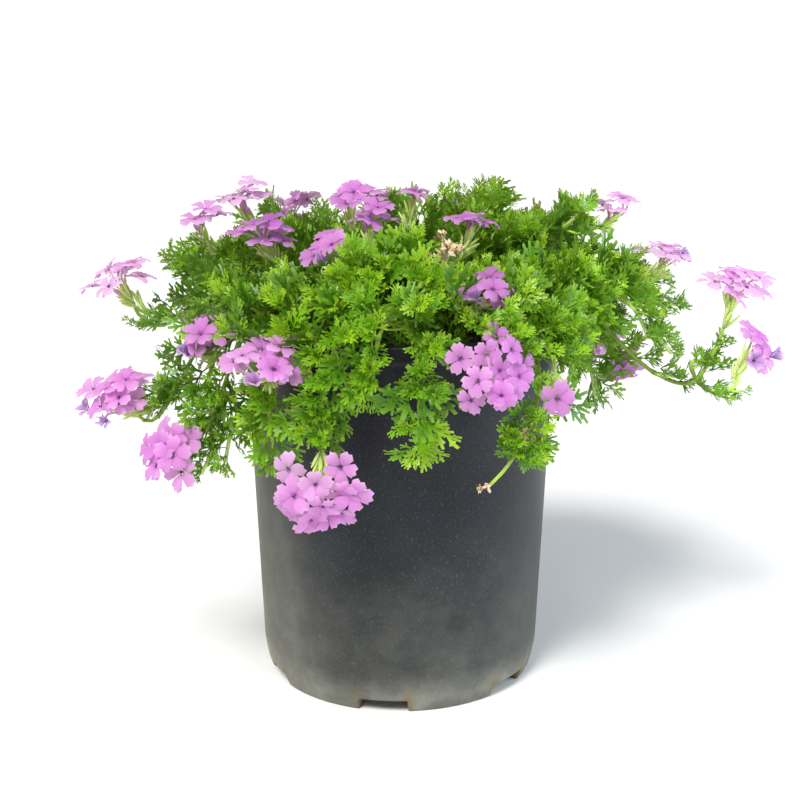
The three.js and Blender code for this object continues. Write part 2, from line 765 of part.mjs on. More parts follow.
// Grows a leaf from a slot at the first of a few angles where it is clear of everything
function growLeaf(owner, slot, room, random) {
  const root = onStem(slot.line, slot.share);
  const tangent = slot.line.getTangentAt(slot.share);
  const outward = new THREE.Vector3(root.x, root.y, LIGHT_HEIGHT).normalize();
  const side = tangent.clone().cross(Math.abs(tangent.z) < 0.9 ? UP : new THREE.Vector3(1, 0, 0));
  side.normalize();
  const share = THREE.MathUtils.lerp(SMALLEST_SHARE, LARGEST_SHARE, random());
  const wanted = LEAF_LENGTH * share;
  for (const extra of LEAF_TURNS) {
    const out = side.clone().applyAxisAngle(tangent, slot.turn + extra);
    const dir = out.addScaledVector(tangent, LEAF_LEAN).addScaledVector(outward, LEAF_LEAN);
    dir.normalize();
    const upper = outward.clone().addScaledVector(UP, 0.35);
    if (Math.abs(dir.dot(upper.clone().normalize())) > 0.97) upper.set(-dir.z, 0.3, dir.x);
    const basis = leafBasis(root, dir, upper);
    for (const length of [wanted, wanted * SHORTER]) {
      const points = leafPoints(length, basis);
      if (!room.isFree(owner, points, CLEAR_OF_LEAF, root, LEAF_LENGTH * LEAF_MIDDLE / 2)) continue;
      room.take(owner, points, LEAF_BALL);
      return solidOf(leafGeometry(length).applyMatrix4(basis));
    }
  }
  return null;
}

function makePlant() {
  const random = seeded(SEED);
  const room = new Room();
  const sprays = Object.entries(SPRAYS).map(([name, spray]) => {
    const lines = sprayLines(spray);
    for (const { line, radius } of lines) room.take(name, along(line, LEAF_BALL), radius);
    return { name, lines, solids: [], slots: [] };
  });

  const heads = [];
  for (const spray of sprays) {
    spray.lines.forEach(({ line, radius, head }, i) => {
      spray.solids.push(stemSolid(line, radius));
      if (!head) return;
      const place = spray.name + (i ? `_${i}` : "");
      if (head.withered) {
        const name = `withered_${place}`;
        heads.push(named(name, makeWithered(name, room, line), "withered"));
      } else {
        const name = `head_${place}`;
        heads.push(named(name, makeHead(name, room, line, head), "petal"));
      }
    });
    spray.slots = spray.lines.flatMap((entry) => leafSlots(entry, random));
  }

  const rounds = Math.max(...sprays.map(({ slots }) => slots.length));
  for (let i = 0; i < rounds; i += 1) {
    for (const spray of sprays) {
      if (i >= spray.slots.length) continue;
      const leaf = growLeaf(spray.name, spray.slots[i], room, random);
      if (leaf) spray.solids.push(leaf);
    }
  }
  return [
    ...sprays.map(({ name, solids }) => named(`spray_${name}`, joined(solids), "leaf")),
    ...heads,
  ];
}

const plant = new THREE.Group();
plant.add(named("pot", makePot(), "plastic"));
plant.add(named("soil", makeSoil(), "soil"));
plant.add(...makePlant());

// The origin lies on the surface under the middle of the plant's spread
const spread = new THREE.Box3().setFromObject(plant).getCenter(new THREE.Vector3());
plant.position.set(-spread.x, -spread.y, 0);
const whole = new THREE.Group();
whole.add(plant);

export default whole;
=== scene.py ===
# %% [markdown]
# # A garden verbena in a nursery pot
# A blow-moulded black pot, a plug of potting mix, and a mound of leafy stems that arch over the rim
# and carry heads of pink florets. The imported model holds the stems, the leaves and the heads in
# their places with few faces. This lesson grows finer pieces along the same stems, so every piece
# stays where the model has it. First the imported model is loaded, and its box is kept.

import bpy
import numpy as np
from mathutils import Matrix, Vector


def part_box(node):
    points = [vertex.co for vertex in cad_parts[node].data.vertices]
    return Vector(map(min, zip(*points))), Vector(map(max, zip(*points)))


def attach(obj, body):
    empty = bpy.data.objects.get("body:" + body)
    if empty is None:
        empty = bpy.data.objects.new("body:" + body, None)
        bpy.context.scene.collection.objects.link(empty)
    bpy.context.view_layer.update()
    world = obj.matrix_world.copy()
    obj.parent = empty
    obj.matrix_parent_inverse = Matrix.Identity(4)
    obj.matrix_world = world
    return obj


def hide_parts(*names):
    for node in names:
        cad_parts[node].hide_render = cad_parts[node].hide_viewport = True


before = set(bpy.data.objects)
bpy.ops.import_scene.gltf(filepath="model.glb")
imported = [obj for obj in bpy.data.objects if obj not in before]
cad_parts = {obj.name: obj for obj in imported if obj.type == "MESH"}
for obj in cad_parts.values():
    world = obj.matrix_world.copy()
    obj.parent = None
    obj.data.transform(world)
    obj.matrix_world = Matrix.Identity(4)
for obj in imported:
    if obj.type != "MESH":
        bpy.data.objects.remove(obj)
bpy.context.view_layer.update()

# %% [markdown]
# The plant is measured in millimetres from the axis of its pot, at the level that it stands on.
# `place` turns such points into metres in the model's frame. The axis is read from the pot's own
# box, so nothing has to be fitted.

# %% Millimetres from the pot's axis
pot_low, pot_high = (np.array(corner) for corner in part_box("pot"))
POT_AXIS = np.array([*((pot_low + pot_high) / 2)[:2], 0.0])
UP = np.array([0.0, 0.0, 1.0])


def place(points):
    """Points in millimetres from the pot's axis, as metres in the model's frame."""
    return np.asarray(points, float) / 1000 + POT_AXIS


def unit(vectors):
    """Each vector divided by its own length."""
    return vectors / np.linalg.norm(vectors, axis=-1, keepdims=True)


print("pot axis in metres:", POT_AXIS.round(5))

# %% [markdown]
# ## Camera
# The photograph was taken from a little above the plant, close by. The camera's height, distance
# and tilt follow from how the pot's rim and base curve in it. It is made before the pieces, so
# that each can be judged through it.

# %% Camera
EYE = (0, -850, 388)
TILT_DOWN_DEG = 15.85
LENS = 75.0
SENSOR = 36.0

camera_data = bpy.data.cameras.new("camera")
camera_data.lens = LENS
camera_data.sensor_width = SENSOR
camera = bpy.data.objects.new("camera", camera_data)
camera.location = place(EYE)
camera.rotation_euler = (np.radians(90 - TILT_DOWN_DEG), 0, 0)
bpy.context.scene.collection.objects.link(camera)
bpy.context.scene.camera = camera
print("camera", LENS, "mm,", EYE)

# %% [markdown]
# ## Floor and light
# The pot stands on a plain pale floor, wide enough to reach past the view on every side. Light
# comes as it does under a bright overcast sky: from all round, and stronger from above and the
# left. A wide sun lamp gives the leaves their lit and shaded sides without hard shadows, and a
# large panel on the right puts the long soft sheen on the pot.

# %% Floor
FLOOR_HALF = 30.0


def add_object(name, mesh):
    """A new object at the origin that shows the mesh."""
    obj = bpy.data.objects.new(name, mesh)
    bpy.context.scene.collection.objects.link(obj)
    return obj


floor_mesh = bpy.data.meshes.new("floor")
corners = [(-FLOOR_HALF, -FLOOR_HALF, 0), (FLOOR_HALF, -FLOOR_HALF, 0),
           (FLOOR_HALF, FLOOR_HALF, 0), (-FLOOR_HALF, FLOOR_HALF, 0)]
floor_mesh.from_pydata(corners, [], [(0, 1, 2, 3)])
floor = add_object("floor", floor_mesh)
print("floor", 2 * FLOOR_HALF, "m wide")

# %% Light
SKY = 0.38
SKY_COLOUR = (0.97, 0.985, 1.0, 1)
BACKDROP_COLOUR = (1, 1, 1, 1)
SUN = 3.4
SUN_COLOUR = (1.0, 0.985, 0.95)
SUN_WIDTH_DEG = 22
SUN_TURN_DEG = (34, -21, 0)
PANEL_WATTS = 6.5
PANEL_COLOUR = (0.78, 0.90, 1.0)
PANEL_AT = (900, -260, 420)
PANEL_TURN_DEG = (0, 78, 18)
PANEL_SIZE = (0.5, 0.9)

world = bpy.data.worlds.new("studio")
world.use_nodes = True
sky = world.node_tree
lit = sky.nodes["Background"]
lit.inputs["Color"].default_value = SKY_COLOUR
lit.inputs["Strength"].default_value = SKY
seen = sky.nodes.new("ShaderNodeBackground")
seen.inputs["Color"].default_value = BACKDROP_COLOUR
either = sky.nodes.new("ShaderNodeMixShader")
sky.links.new(sky.nodes.new("ShaderNodeLightPath").outputs["Is Camera Ray"], either.inputs[0])
sky.links.new(lit.outputs[0], either.inputs[1])
sky.links.new(seen.outputs[0], either.inputs[2])
sky.links.new(either.outputs[0], sky.nodes["World Output"].inputs["Surface"])
bpy.context.scene.world = world


def add_light(name, kind, energy, colour, turn_deg, location=(0, 0, 1000)):
    """A lamp at a place in millimetres, pointing down before it is turned by the angles."""
    data = bpy.data.lights.new(name, kind)
    data.energy = energy
    data.color = colour
    lamp = bpy.data.objects.new(name, data)
    lamp.location = place(location)
    lamp.rotation_euler = np.radians(turn_deg)
    bpy.context.scene.collection.objects.link(lamp)
    return data


sun = add_light("sun", "SUN", SUN, SUN_COLOUR, SUN_TURN_DEG)
sun.angle = np.radians(SUN_WIDTH_DEG)
panel = add_light("panel", "AREA", PANEL_WATTS, PANEL_COLOUR, PANEL_TURN_DEG, PANEL_AT)
panel.shape = "RECTANGLE"
panel.size, panel.size_y = PANEL_SIZE
bpy.context.scene.view_settings.view_transform = "Standard"
print("sky", SKY, "sun", SUN, "panel", PANEL_WATTS, "W")

# %% [markdown]
# ## Pieces from arrays
# Every shape below is worked out as whole arrays of points with numpy. `Patch` holds one such
# shape: its points, its four-sided and three-sided faces, which finish it takes, and a few numbers
# for each point that the finishes read, such as how far along a leaf it lies. `add_piece` joins
# patches in one mesh and puts it on the model's body.

# %% Patches and pieces
class Patch:
    """Points in millimetres with faces that index them, a finish, and named values per point."""

    def __init__(self, points, quads, tris=(), finish=0, **values):
        self.points = np.asarray(points, float).reshape(-1, 3)
        self.quads = np.asarray(quads, np.int64).reshape(-1, 4)
        self.tris = np.asarray(tris, np.int64).reshape(-1, 3)
        self.finish = finish
        count = len(self.points)
        self.values = {k: np.broadcast_to(v, (count,)).astype(np.float32) for k, v in values.items()}


def add_piece(name, patches, finishes, replaced):
    """Joins patches in one smooth-shaded mesh that rides on the body and replaces CAD nodes."""
    starts = np.cumsum([0] + [len(p.points) for p in patches])
    quads = np.concatenate([p.quads + s for p, s in zip(patches, starts)])
    tris = np.concatenate([p.tris + s for p, s in zip(patches, starts)])
    finish = [np.full(len(p.quads), p.finish) for p in patches]
    finish += [np.full(len(p.tris), p.finish) for p in patches]
    corners = np.concatenate([quads.ravel(), tris.ravel()]).astype(np.int32)
    firsts = np.concatenate([4 * np.arange(len(quads)),
                             4 * len(quads) + 3 * np.arange(len(tris))]).astype(np.int32)
    mesh = bpy.data.meshes.new(name)
    mesh.vertices.add(int(starts[-1]))
    mesh.vertices.foreach_set("co", place(np.concatenate([p.points for p in patches])).ravel())
    mesh.loops.add(len(corners))
    mesh.loops.foreach_set("vertex_index", corners)
    mesh.polygons.add(len(firsts))
    mesh.polygons.foreach_set("loop_start", firsts)
    mesh.polygons.foreach_set("material_index", np.concatenate(finish).astype(np.int32))
    mesh.polygons.foreach_set("use_smooth", np.ones(len(firsts), bool))
    for key in sorted({k for p in patches for k in p.values}):
        data = np.concatenate([p.values.get(key, np.zeros(len(p.points), np.float32))
                               for p in patches])
        mesh.attributes.new(key, "FLOAT", "POINT").data.foreach_set("value", data)
    for material in finishes:
        mesh.materials.append(material)
    mesh.update(calc_edges=True)
    obj = add_object(name, mesh)
    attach(obj, "root")
    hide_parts(*replaced)


def grid_quads(rows, columns, closed=False):
    """The faces of a grid of rows x columns points, the last column joined to the first if closed.
    Seen from outside, rows run up and columns run anticlockwise."""
    i, j = np.meshgrid(np.arange(rows - 1), np.arange(columns if closed else columns - 1),
                       indexing="ij")
    k = (j + 1) % columns
    corners = [i * columns + j, i * columns + k, (i + 1) * columns + k, (i + 1) * columns + j]
    return np.stack(corners, -1).reshape(-1, 4)


def end_caps(rows, columns):
    """Triangles that close such a grid at both ends: a fan from each of the two points that follow
    the grid's own points, to the first row and to the last."""
    ring = np.arange(columns)
    after = (ring + 1) % columns
    pole, last = np.full(columns, rows * columns), (rows - 1) * columns
    return np.concatenate([np.stack([pole, after, ring], -1),
                           np.stack([pole + 1, last + ring, last + after], -1)])


print("patches ready")

# %% [markdown]
# ## Finishes
# Every finish reads Object coordinates, so its pattern sits still on the pieces, or the values
# that the patches carry. Two effects serve several finishes and are node groups. `mottle` gives
# soft patches of a chosen size and contrast. `grain` gives the height for a bump.

# %% Helpers for node trees
def new_material(name):
    """A material, its node tree and its Principled node."""
    material = bpy.data.materials.new(name)
    material.use_nodes = True
    return material, material.node_tree, material.node_tree.nodes["Principled BSDF"]


def fill(tree, target, inputs):
    """Sets each of a node's inputs to a value, or links it to an output, and returns the node."""
    for key, value in inputs.items():
        if isinstance(value, bpy.types.NodeSocket):
            tree.links.new(value, target.inputs[key])
        else:
            target.inputs[key].default_value = value
    return target


def node(tree, kind, inputs, **settings):
    """A new node of a kind, with its settings and its inputs."""
    new = tree.nodes.new(kind)
    for key, value in settings.items():
        setattr(new, key, value)
    return fill(tree, new, inputs)


def mix_colour(tree, share, first, second, blend="MIX"):
    """The colour output of a Mix node: first where share is 0, second where it is 1."""
    first, second = (c if isinstance(c, bpy.types.NodeSocket) else (*c, 1) for c in (first, second))
    inputs = {0: share, 6: first, 7: second}
    return node(tree, "ShaderNodeMix", inputs, data_type="RGBA", blend_type=blend).outputs[2]


def math(tree, operation, *values, clamp=False):
    """The output of a Math node."""
    inputs = dict(enumerate(values))
    return node(tree, "ShaderNodeMath", inputs, operation=operation, use_clamp=clamp).outputs[0]


def ramp(tree, value, stops):
    """The colour of a ramp with (position, colour) stops at a value."""
    new = node(tree, "ShaderNodeValToRGB", {0: value})
    elements = new.color_ramp.elements
    while len(elements) < len(stops):
        elements.new(0.5)
    for element, (position, colour) in zip(elements, stops):
        element.position = position
        element.color = (*colour, 1)
    return new.outputs[0]


def between(tree, value, low, high, to_low=0.0, to_high=1.0, smooth=False):
    """The value moved from the range low..high to another range, and held inside it."""
    inputs = {"Value": value, "From Min": low, "From Max": high, "To Min": to_low, "To Max": to_high}
    kind = "SMOOTHSTEP" if smooth else "LINEAR"
    return node(tree, "ShaderNodeMapRange", inputs, interpolation_type=kind).outputs["Result"]


def varied(tree, mask, low, high):
    """A mask of 0 to 1 moved to the range low..high."""
    return between(tree, mask, 0, 1, low, high)


def per_point(tree, name):
    """The number that a patch carries for each point."""
    return node(tree, "ShaderNodeAttribute", {}, attribute_name=name).outputs["Fac"]


def object_point(tree):
    """Object coordinates."""
    return node(tree, "ShaderNodeTexCoord", {}).outputs["Object"]


def new_group(name, inputs, outputs):
    """A shader node group with named number or vector inputs and number outputs."""
    group = bpy.data.node_groups.new(name, "ShaderNodeTree")
    for key, kind, value in inputs:
        socket = group.interface.new_socket(key, in_out="INPUT", socket_type=kind)
        if value is not None:
            socket.default_value = value
    for key in outputs:
        group.interface.new_socket(key, in_out="OUTPUT", socket_type="NodeSocketFloat")
    return group, group.nodes.new("NodeGroupInput"), group.nodes.new("NodeGroupOutput")


print("node helpers ready")

# %% Mottle: soft patches
mottle, given, result = new_group("mottle", [
    ("Point", "NodeSocketVector", None),
    ("Size", "NodeSocketFloat", 40.0),
    ("Low", "NodeSocketFloat", 0.35),
    ("High", "NodeSocketFloat", 0.65),
], ["Mask"])
cloud = node(mottle, "ShaderNodeTexNoise",
             {"Vector": given.outputs["Point"], "Scale": given.outputs["Size"],
              "Detail": 4.0, "Roughness": 0.6})
mask = between(mottle, cloud.outputs["Fac"], given.outputs["Low"], given.outputs["High"], smooth=True)
mottle.links.new(mask, result.inputs["Mask"])


def soft_patches(tree, point, size, low, high):
    """The mask of a mottle: a larger size makes smaller patches, and low and high set their edge."""
    inputs = {"Point": point, "Size": size, "Low": low, "High": high}
    return node(tree, "ShaderNodeGroup", inputs, node_tree=mottle).outputs["Mask"]


print("mottle group")

# %% Grain: fine height for a bump
grain, given, result = new_group("grain", [
    ("Point", "NodeSocketVector", None),
    ("Size", "NodeSocketFloat", 800.0),
    ("Coarse share", "NodeSocketFloat", 0.5),
], ["Height"])
fine = node(grain, "ShaderNodeTexNoise",
            {"Vector": given.outputs["Point"], "Scale": given.outputs["Size"], "Detail": 3.0})
coarse_size = math(grain, "MULTIPLY", given.outputs["Size"], 0.2)
coarse = node(grain, "ShaderNodeTexNoise",
              {"Vector": given.outputs["Point"], "Scale": coarse_size, "Detail": 2.0})
coarse_height = math(grain, "MULTIPLY", coarse.outputs["Fac"], given.outputs["Coarse share"])
height = math(grain, "ADD", fine.outputs["Fac"], coarse_height)
grain.links.new(height, result.inputs["Height"])


def roughen(tree, shader, point, size, coarse_share, strength, distance):
    """Bumps a shader's normal by the grain. The distance is the bump's depth in metres."""
    inputs = {"Point": point, "Size": size, "Coarse share": coarse_share}
    height = node(tree, "ShaderNodeGroup", inputs, node_tree=grain).outputs["Height"]
    bump = node(tree, "ShaderNodeBump", {"Height": height, "Strength": strength, "Distance": distance})
    tree.links.new(bump.outputs["Normal"], shader.inputs["Normal"])


print("grain group")

# %% [markdown]
# The floor is plain and pale, with only a trace of unevenness in its colour.

# %% Floor finish
FLOOR_COLOURS = (0.93, 0.93, 0.93), (0.95, 0.95, 0.95)
floor_finish, tree, shader = new_material("pale_floor")
uneven = soft_patches(tree, object_point(tree), 3.0, 0.2, 0.8)
fill(tree, shader, {"Base Color": mix_colour(tree, uneven, *FLOOR_COLOURS), "Roughness": 0.85,
                    "Specular IOR Level": 0.2})
floor_mesh.materials.append(floor_finish)
print("floor finish")

# %% [markdown]
# ## Pot
# The real pot is blow-moulded polyethylene: one thin wall with a thicker rolled lip, a rounded
# corner at its base, and a foot ring that notches cut into six feet, with a drain hole over each
# notch. It could be turned with the Spin tool or a Screw modifier. Here its profile is a closed
# line with rounded corners, carried round the axis on a grid. Within each notch the foot ring's
# points are lifted to the floor of the pot, and the cells of the drain holes are left out and
# walled, so the pot stays one closed surface.

# %% Pot sizes
POT_HEIGHT = 196
RIM_RADIUS = 82.5
BASE_RADIUS = 74
WALL = 2
LIP_HEIGHT = 8
LIP_PROUD = 1.3
LIP_BOTTOM = POT_HEIGHT - LIP_HEIGHT
LIP_INNER = RIM_RADIUS - LIP_PROUD - WALL
FOOT_HEIGHT = 7
FOOT_RADIUS = 70
FOOT_WIDTH = 8
FOOT_INNER = FOOT_RADIUS - FOOT_WIDTH
FEET = 6
CORNER_TOP = 15
CORNER_BOTTOM = (BASE_RADIUS - 1.7, FOOT_HEIGHT - 1)
NOTCH_DEG = 20.5
FIRST_NOTCH_DEG = -97
DRAIN_HALF = 5
SOIL_TOP = 178
BEND_STEPS = 5
OUTSIDE_BENDS = (1, 1.5, 2.5, 3.5, 1, 1, 1.6)


def pot_radius(z):
    """The radius of the pot's outside at height z, a straight taper from its corner to its lip."""
    share = (z - CORNER_TOP) / (POT_HEIGHT - CORNER_TOP)
    return BASE_RADIUS + (RIM_RADIUS - LIP_PROUD - BASE_RADIUS) * share


def rounded(points, radii):
    """A line whose corners are replaced by curves: near each corner, points of the quadratic curve
    that starts and ends one radius away from it along its two sides and bends towards it."""
    points = np.asarray(points, float)
    line = [points[:1]]
    t = np.linspace(0, 1, BEND_STEPS)[:, None]
    for before, corner, after, radius in zip(points, points[1:], points[2:], radii):
        if radius == 0:
            line.append(corner[None])
            continue
        start = corner + unit(before - corner) * radius
        end = corner + unit(after - corner) * radius
        line.append((1 - t) ** 2 * start + 2 * t * (1 - t) * corner + t ** 2 * end)
    return np.concatenate([*line, points[-1:]])


outside = rounded(
    [(FOOT_INNER, FOOT_HEIGHT), (FOOT_INNER, 0), (FOOT_RADIUS, 0), CORNER_BOTTOM,
     (BASE_RADIUS, CORNER_TOP), (pot_radius(LIP_BOTTOM - LIP_PROUD), LIP_BOTTOM - LIP_PROUD),
     (RIM_RADIUS, LIP_BOTTOM), (RIM_RADIUS, POT_HEIGHT), (LIP_INNER, POT_HEIGHT)], OUTSIDE_BENDS)
print("outside line:", len(outside), "points")

# %% Pot: profile and grid
INSIDE_BENDS = (2, 2, 0)
OUTER_WALL_STEPS = 14
INNER_WALL_STEPS = 6
FLOOR_TOP = FOOT_HEIGHT + WALL
HOLE_IN = FOOT_INNER - DRAIN_HALF
HOLE_OUT = FOOT_INNER + DRAIN_HALF
HOLE_HALF_DEG = np.degrees(DRAIN_HALF / FOOT_INNER)
NOTCH_HALF = NOTCH_DEG / 2
EDGE_DEG = 0.45
HALF_SECTOR_DEG = np.array([0, 1.6, 3.2, HOLE_HALF_DEG, 6, 7.5, 9, NOTCH_HALF - EDGE_DEG, NOTCH_HALF,
                            NOTCH_HALF + EDGE_DEG, 11.6, *np.linspace(13, 28, 9)])

under = np.array([(HOLE_IN / 2, FOOT_HEIGHT), (HOLE_IN, FOOT_HEIGHT)])
inside = rounded([(LIP_INNER, POT_HEIGHT), (pot_radius(CORNER_TOP) - WALL, CORNER_TOP),
                  (FOOT_RADIUS - WALL, FLOOR_TOP), (HOLE_OUT, FLOOR_TOP), (HOLE_IN, FLOOR_TOP)],
                 INSIDE_BENDS)[1:]
inner_wall = np.linspace(outside[-1], inside[0], INNER_WALL_STEPS)[1:-1]
split = int(np.argmax(outside[:, 0] > HOLE_OUT))
outside = np.insert(outside, split, (HOLE_OUT, 0), axis=0)
wall_from = int(np.argmax(outside[:, 1] > CORNER_TOP + 2))
outer_wall = np.linspace(outside[wall_from - 1], outside[wall_from], OUTER_WALL_STEPS)[1:-1]
profile = np.concatenate([under, outside[:wall_from], outer_wall, outside[wall_from:], inner_wall,
                          inside, [(HOLE_IN / 2, FLOOR_TOP)]])

sector = np.concatenate([-HALF_SECTOR_DEG[:0:-1], HALF_SECTOR_DEG, [180 / FEET]])
offset = np.tile(sector, FEET)
turn_deg = offset + np.repeat(FIRST_NOTCH_DEG + 360 / FEET * np.arange(FEET), len(sector))
print("pot profile", len(profile), "points, carried round in", len(offset), "steps")

# %% Pot: surface
NOTCH_LIFT = 0.97
OUT_OF_ROUND = 0.25
WAVY = 0.12
STAIN_WIDTH_DEG = 2.2
STAIN_HEIGHTS = (6, 17)
HAIR = 1e-6


def smooth_step(value, low, high):
    """0 below low, 1 above high, and a smooth s-curve between them."""
    t = np.clip((value - low) / (high - low), 0, 1)
    return t * t * (3 - 2 * t)


def drain_walls(columns, floor_rows, in_hole):
    """The walls of the drain holes, from the underside of the pot's floor to its top: a strip along
    each hole's inner and outer arc, and at either end a fan of triangles."""
    underside = floor_rows & (profile[1:, 1] < FOOT_HEIGHT + 0.1)
    rows, top_rows = np.flatnonzero(underside), np.flatnonzero(floor_rows & ~underside)
    chain = np.append(rows, rows[-1] + 1)
    top_out, top_in = top_rows[0], top_rows[-1] + 1
    cells = np.flatnonzero(in_hole)
    nexts = (cells + 1) % columns
    arcs = ((chain[0], top_in, nexts, cells), (chain[-1], top_out, cells, nexts))
    strips = [np.stack([low * columns + first, low * columns + second,
                        high * columns + second, high * columns + first], -1)
              for low, high, first, second in arcs]
    fans = []
    for edge, flip in ((-HOLE_HALF_DEG, 1), (HOLE_HALF_DEG, -1)):
        for column in np.flatnonzero(np.abs(offset - edge) < HAIR):
            line = np.append(chain, top_out) * columns + column
            hub = np.full(len(line) - 1, top_in * columns + column)
            fans.append(np.stack([hub, line[:-1], line[1:]], -1)[:, ::flip])
    return strips, fans


def make_pot():
    """The profile (r, z) turned to (r cos a, r sin a, z). Inside a notch, a point of the foot ring
    lies a hair under the floor. The wall is out of round by a few tenths of a millimetre: two waves
    round it that grow with the height, and three that turn with it."""
    r, z = (np.repeat(profile[:, k, None], len(offset), axis=1) for k in (0, 1))
    notch = 1 - smooth_step(np.abs(offset), NOTCH_HALF - EDGE_DEG, NOTCH_HALF + EDGE_DEG)
    foot = np.clip((FOOT_HEIGHT - z) / FOOT_HEIGHT, 0, 1)
    z = z + notch * foot * FOOT_HEIGHT * NOTCH_LIFT
    a = np.radians(turn_deg)[None, :]
    r = (r + OUT_OF_ROUND * np.cos(2 * a + 0.7) * smooth_step(z, 10, 190)
         + WAVY * np.cos(3 * a + z / 30))
    rows, columns = z.shape
    quads = grid_quads(rows, columns, closed=True).reshape(rows - 1, columns, 4)
    in_hole = (offset >= -HOLE_HALF_DEG - HAIR) & (offset < HOLE_HALF_DEG - HAIR)
    mid_r = (profile[1:, 0] + profile[:-1, 0]) / 2
    floor_rows = (profile[1:, 1] < FLOOR_TOP + 0.1) & (mid_r > HOLE_IN) & (mid_r < HOLE_OUT)
    kept = quads[~(floor_rows[:, None] & in_hole[None, :])]
    strips, fans = drain_walls(columns, floor_rows, in_hole)
    edge_of_notch = np.exp(-((np.abs(offset) - NOTCH_HALF) / STAIN_WIDTH_DEG) ** 2)[None, :]
    stain = edge_of_notch * (1 - smooth_step(z, *STAIN_HEIGHTS))
    points = np.stack([r * np.cos(a), r * np.sin(a), z], -1).reshape(-1, 3)
    poles = [[0, 0, profile[0, 1]], [0, 0, profile[-1, 1]]]
    return Patch(np.concatenate([points, poles]), np.concatenate([kept, *strips]),
                 np.concatenate([end_caps(rows, columns), *fans]),
                 stain=np.append(stain.ravel(), [0, 0]))


pot_patch = make_pot()
print("pot:", len(pot_patch.quads), "quads and", len(pot_patch.tris), "triangles")

# %% [markdown]
# The plastic is charcoal black with a soft sheen. Rain has splashed it: a grey-olive film of dust
# lies over the base and the side that stood outermost and takes the shine away, and soil has
# stained the edges of the notches. A narrow pale band down the left edge is painted sheen, for the
# grazing reflection of the bright surroundings, and it is mixed in with the dust. The film is a mix
# driven by height and side, broken up by the mottle, so it needs no painted map.

# %% Pot finish
PLASTIC = (0.004, 0.0068, 0.011)
WORN_PLASTIC = (0.008, 0.0115, 0.017)
DUST = (0.30, 0.30, 0.25)
SOIL_STAIN = (0.20, 0.13, 0.06)
DUSTY_FOOT = (0.004, 0.024, 0.48)
DUSTY_WALL = (0.0, 0.12, 0.22)
# The narrow band at the left edge, the first of these two, is painted sheen for the grazing reflection of
# the bright surroundings. The wider one is dust.
PAINTED_SHEEN_EDGE = (-0.078, -0.068, 0.42)
FADED_SIDE = (-0.078, -0.040, 0.40)


def fading(tree, value, low, high, share, smooth=True):
    """A share of dust, and in the narrow band at the left edge of painted sheen: whole up to a place low, in
    metres, and nothing at high.
    """
    return between(tree, value, low, high, share, 0.0, smooth)


pot_finish, tree, shader = new_material("pot_plastic")
centred = node(tree, "ShaderNodeMapping",
               {"Vector": object_point(tree), "Location": tuple(-POT_AXIS)}).outputs["Vector"]
x_y_z = node(tree, "ShaderNodeSeparateXYZ", {0: centred})
x, z = x_y_z.outputs["X"], x_y_z.outputs["Z"]
low_down = math(tree, "ADD", fading(tree, z, *DUSTY_FOOT), fading(tree, z, *DUSTY_WALL))
# Dust on the left side, and painted sheen in the narrow band at its edge.
dust_and_sheen_side = math(tree, "ADD", fading(tree, x, *PAINTED_SHEEN_EDGE, smooth=False), fading(tree, x, *FADED_SIDE))
blotches = soft_patches(tree, centred, 28.0, 0.3, 0.72)
clouds = soft_patches(tree, centred, 85.0, 0.3, 0.7)
splashed = math(tree, "MULTIPLY", low_down, varied(tree, blotches, 0.55, 1.15))
side_dust_and_sheen = math(tree, "MULTIPLY", dust_and_sheen_side, varied(tree, blotches, 0.9, 1.05))
dust_and_sheen_film = math(tree, "ADD", splashed, side_dust_and_sheen)
dust_and_sheen_film = math(tree, "MULTIPLY", dust_and_sheen_film, varied(tree, clouds, 0.8, 1.15), clamp=True)
specks = node(tree, "ShaderNodeTexNoise", {"Vector": centred, "Scale": 900.0, "Detail": 1.0})
specks = between(tree, specks.outputs["Fac"], 0.58, 0.80, 0.0, 0.13)
dust_and_sheen_film = math(tree, "ADD", dust_and_sheen_film, specks, clamp=True)
dust_and_sheen_colour = mix_colour(tree, dust_and_sheen_film, mix_colour(tree, blotches, PLASTIC, WORN_PLASTIC), DUST)
soiled = math(tree, "MULTIPLY", per_point(tree, "stain"), varied(tree, blotches, 0.4, 1.0))
fill(tree, shader, {"Base Color": mix_colour(tree, soiled, dust_and_sheen_colour, SOIL_STAIN),
                    "Roughness": between(tree, dust_and_sheen_film, 0, 0.7, 0.42, 0.8),
                    "Specular IOR Level": 0.30})
roughen(tree, shader, centred, size=420.0, coarse_share=1.0, strength=0.16, distance=0.0006)
add_piece("pot_shell", [pot_patch], [pot_finish], ["pot"])
print("pot shell replaces the pot node")

# %% [markdown]
# ## Potting mix
# The mix is a plug of bark and peat that fills the pot to a finger's width under its rim. Its top
# is lumpy. A displaced plane would do, but the plug is a closed turned form, so its top is a polar
# grid whose height is a sum of waves at random angles, from long ones to short and low ones.

# %% Potting mix: surface
SOIL_DOME = 3
SOIL_CLEAR = 0.6
WAVES = 26
WAVE_LENGTHS = (30.0, 2.2)
LUMP_HEIGHT = 1.6
LUMP_ROOM = 0.4
ABOVE_FLOOR = 0.3
BOTTOM_RADIUS = 20
MIX_SEED = 3
TOP_ROWS = 40
MIX_COLUMNS = 160


def lumps(x, y, rng):
    """A sum of sine waves over the plane. Each has a random direction and phase, and its height
    falls with its length."""
    lengths = np.geomspace(*WAVE_LENGTHS, WAVES)
    angles, phases = rng.uniform(0, 2 * np.pi, (2, WAVES))
    along = x[..., None] * np.cos(angles) + y[..., None] * np.sin(angles)
    waves = np.sin(2 * np.pi * along / lengths + phases) * (lengths / WAVE_LENGTHS[0]) ** 0.75
    return LUMP_HEIGHT * waves.sum(-1) / np.sqrt(WAVES)


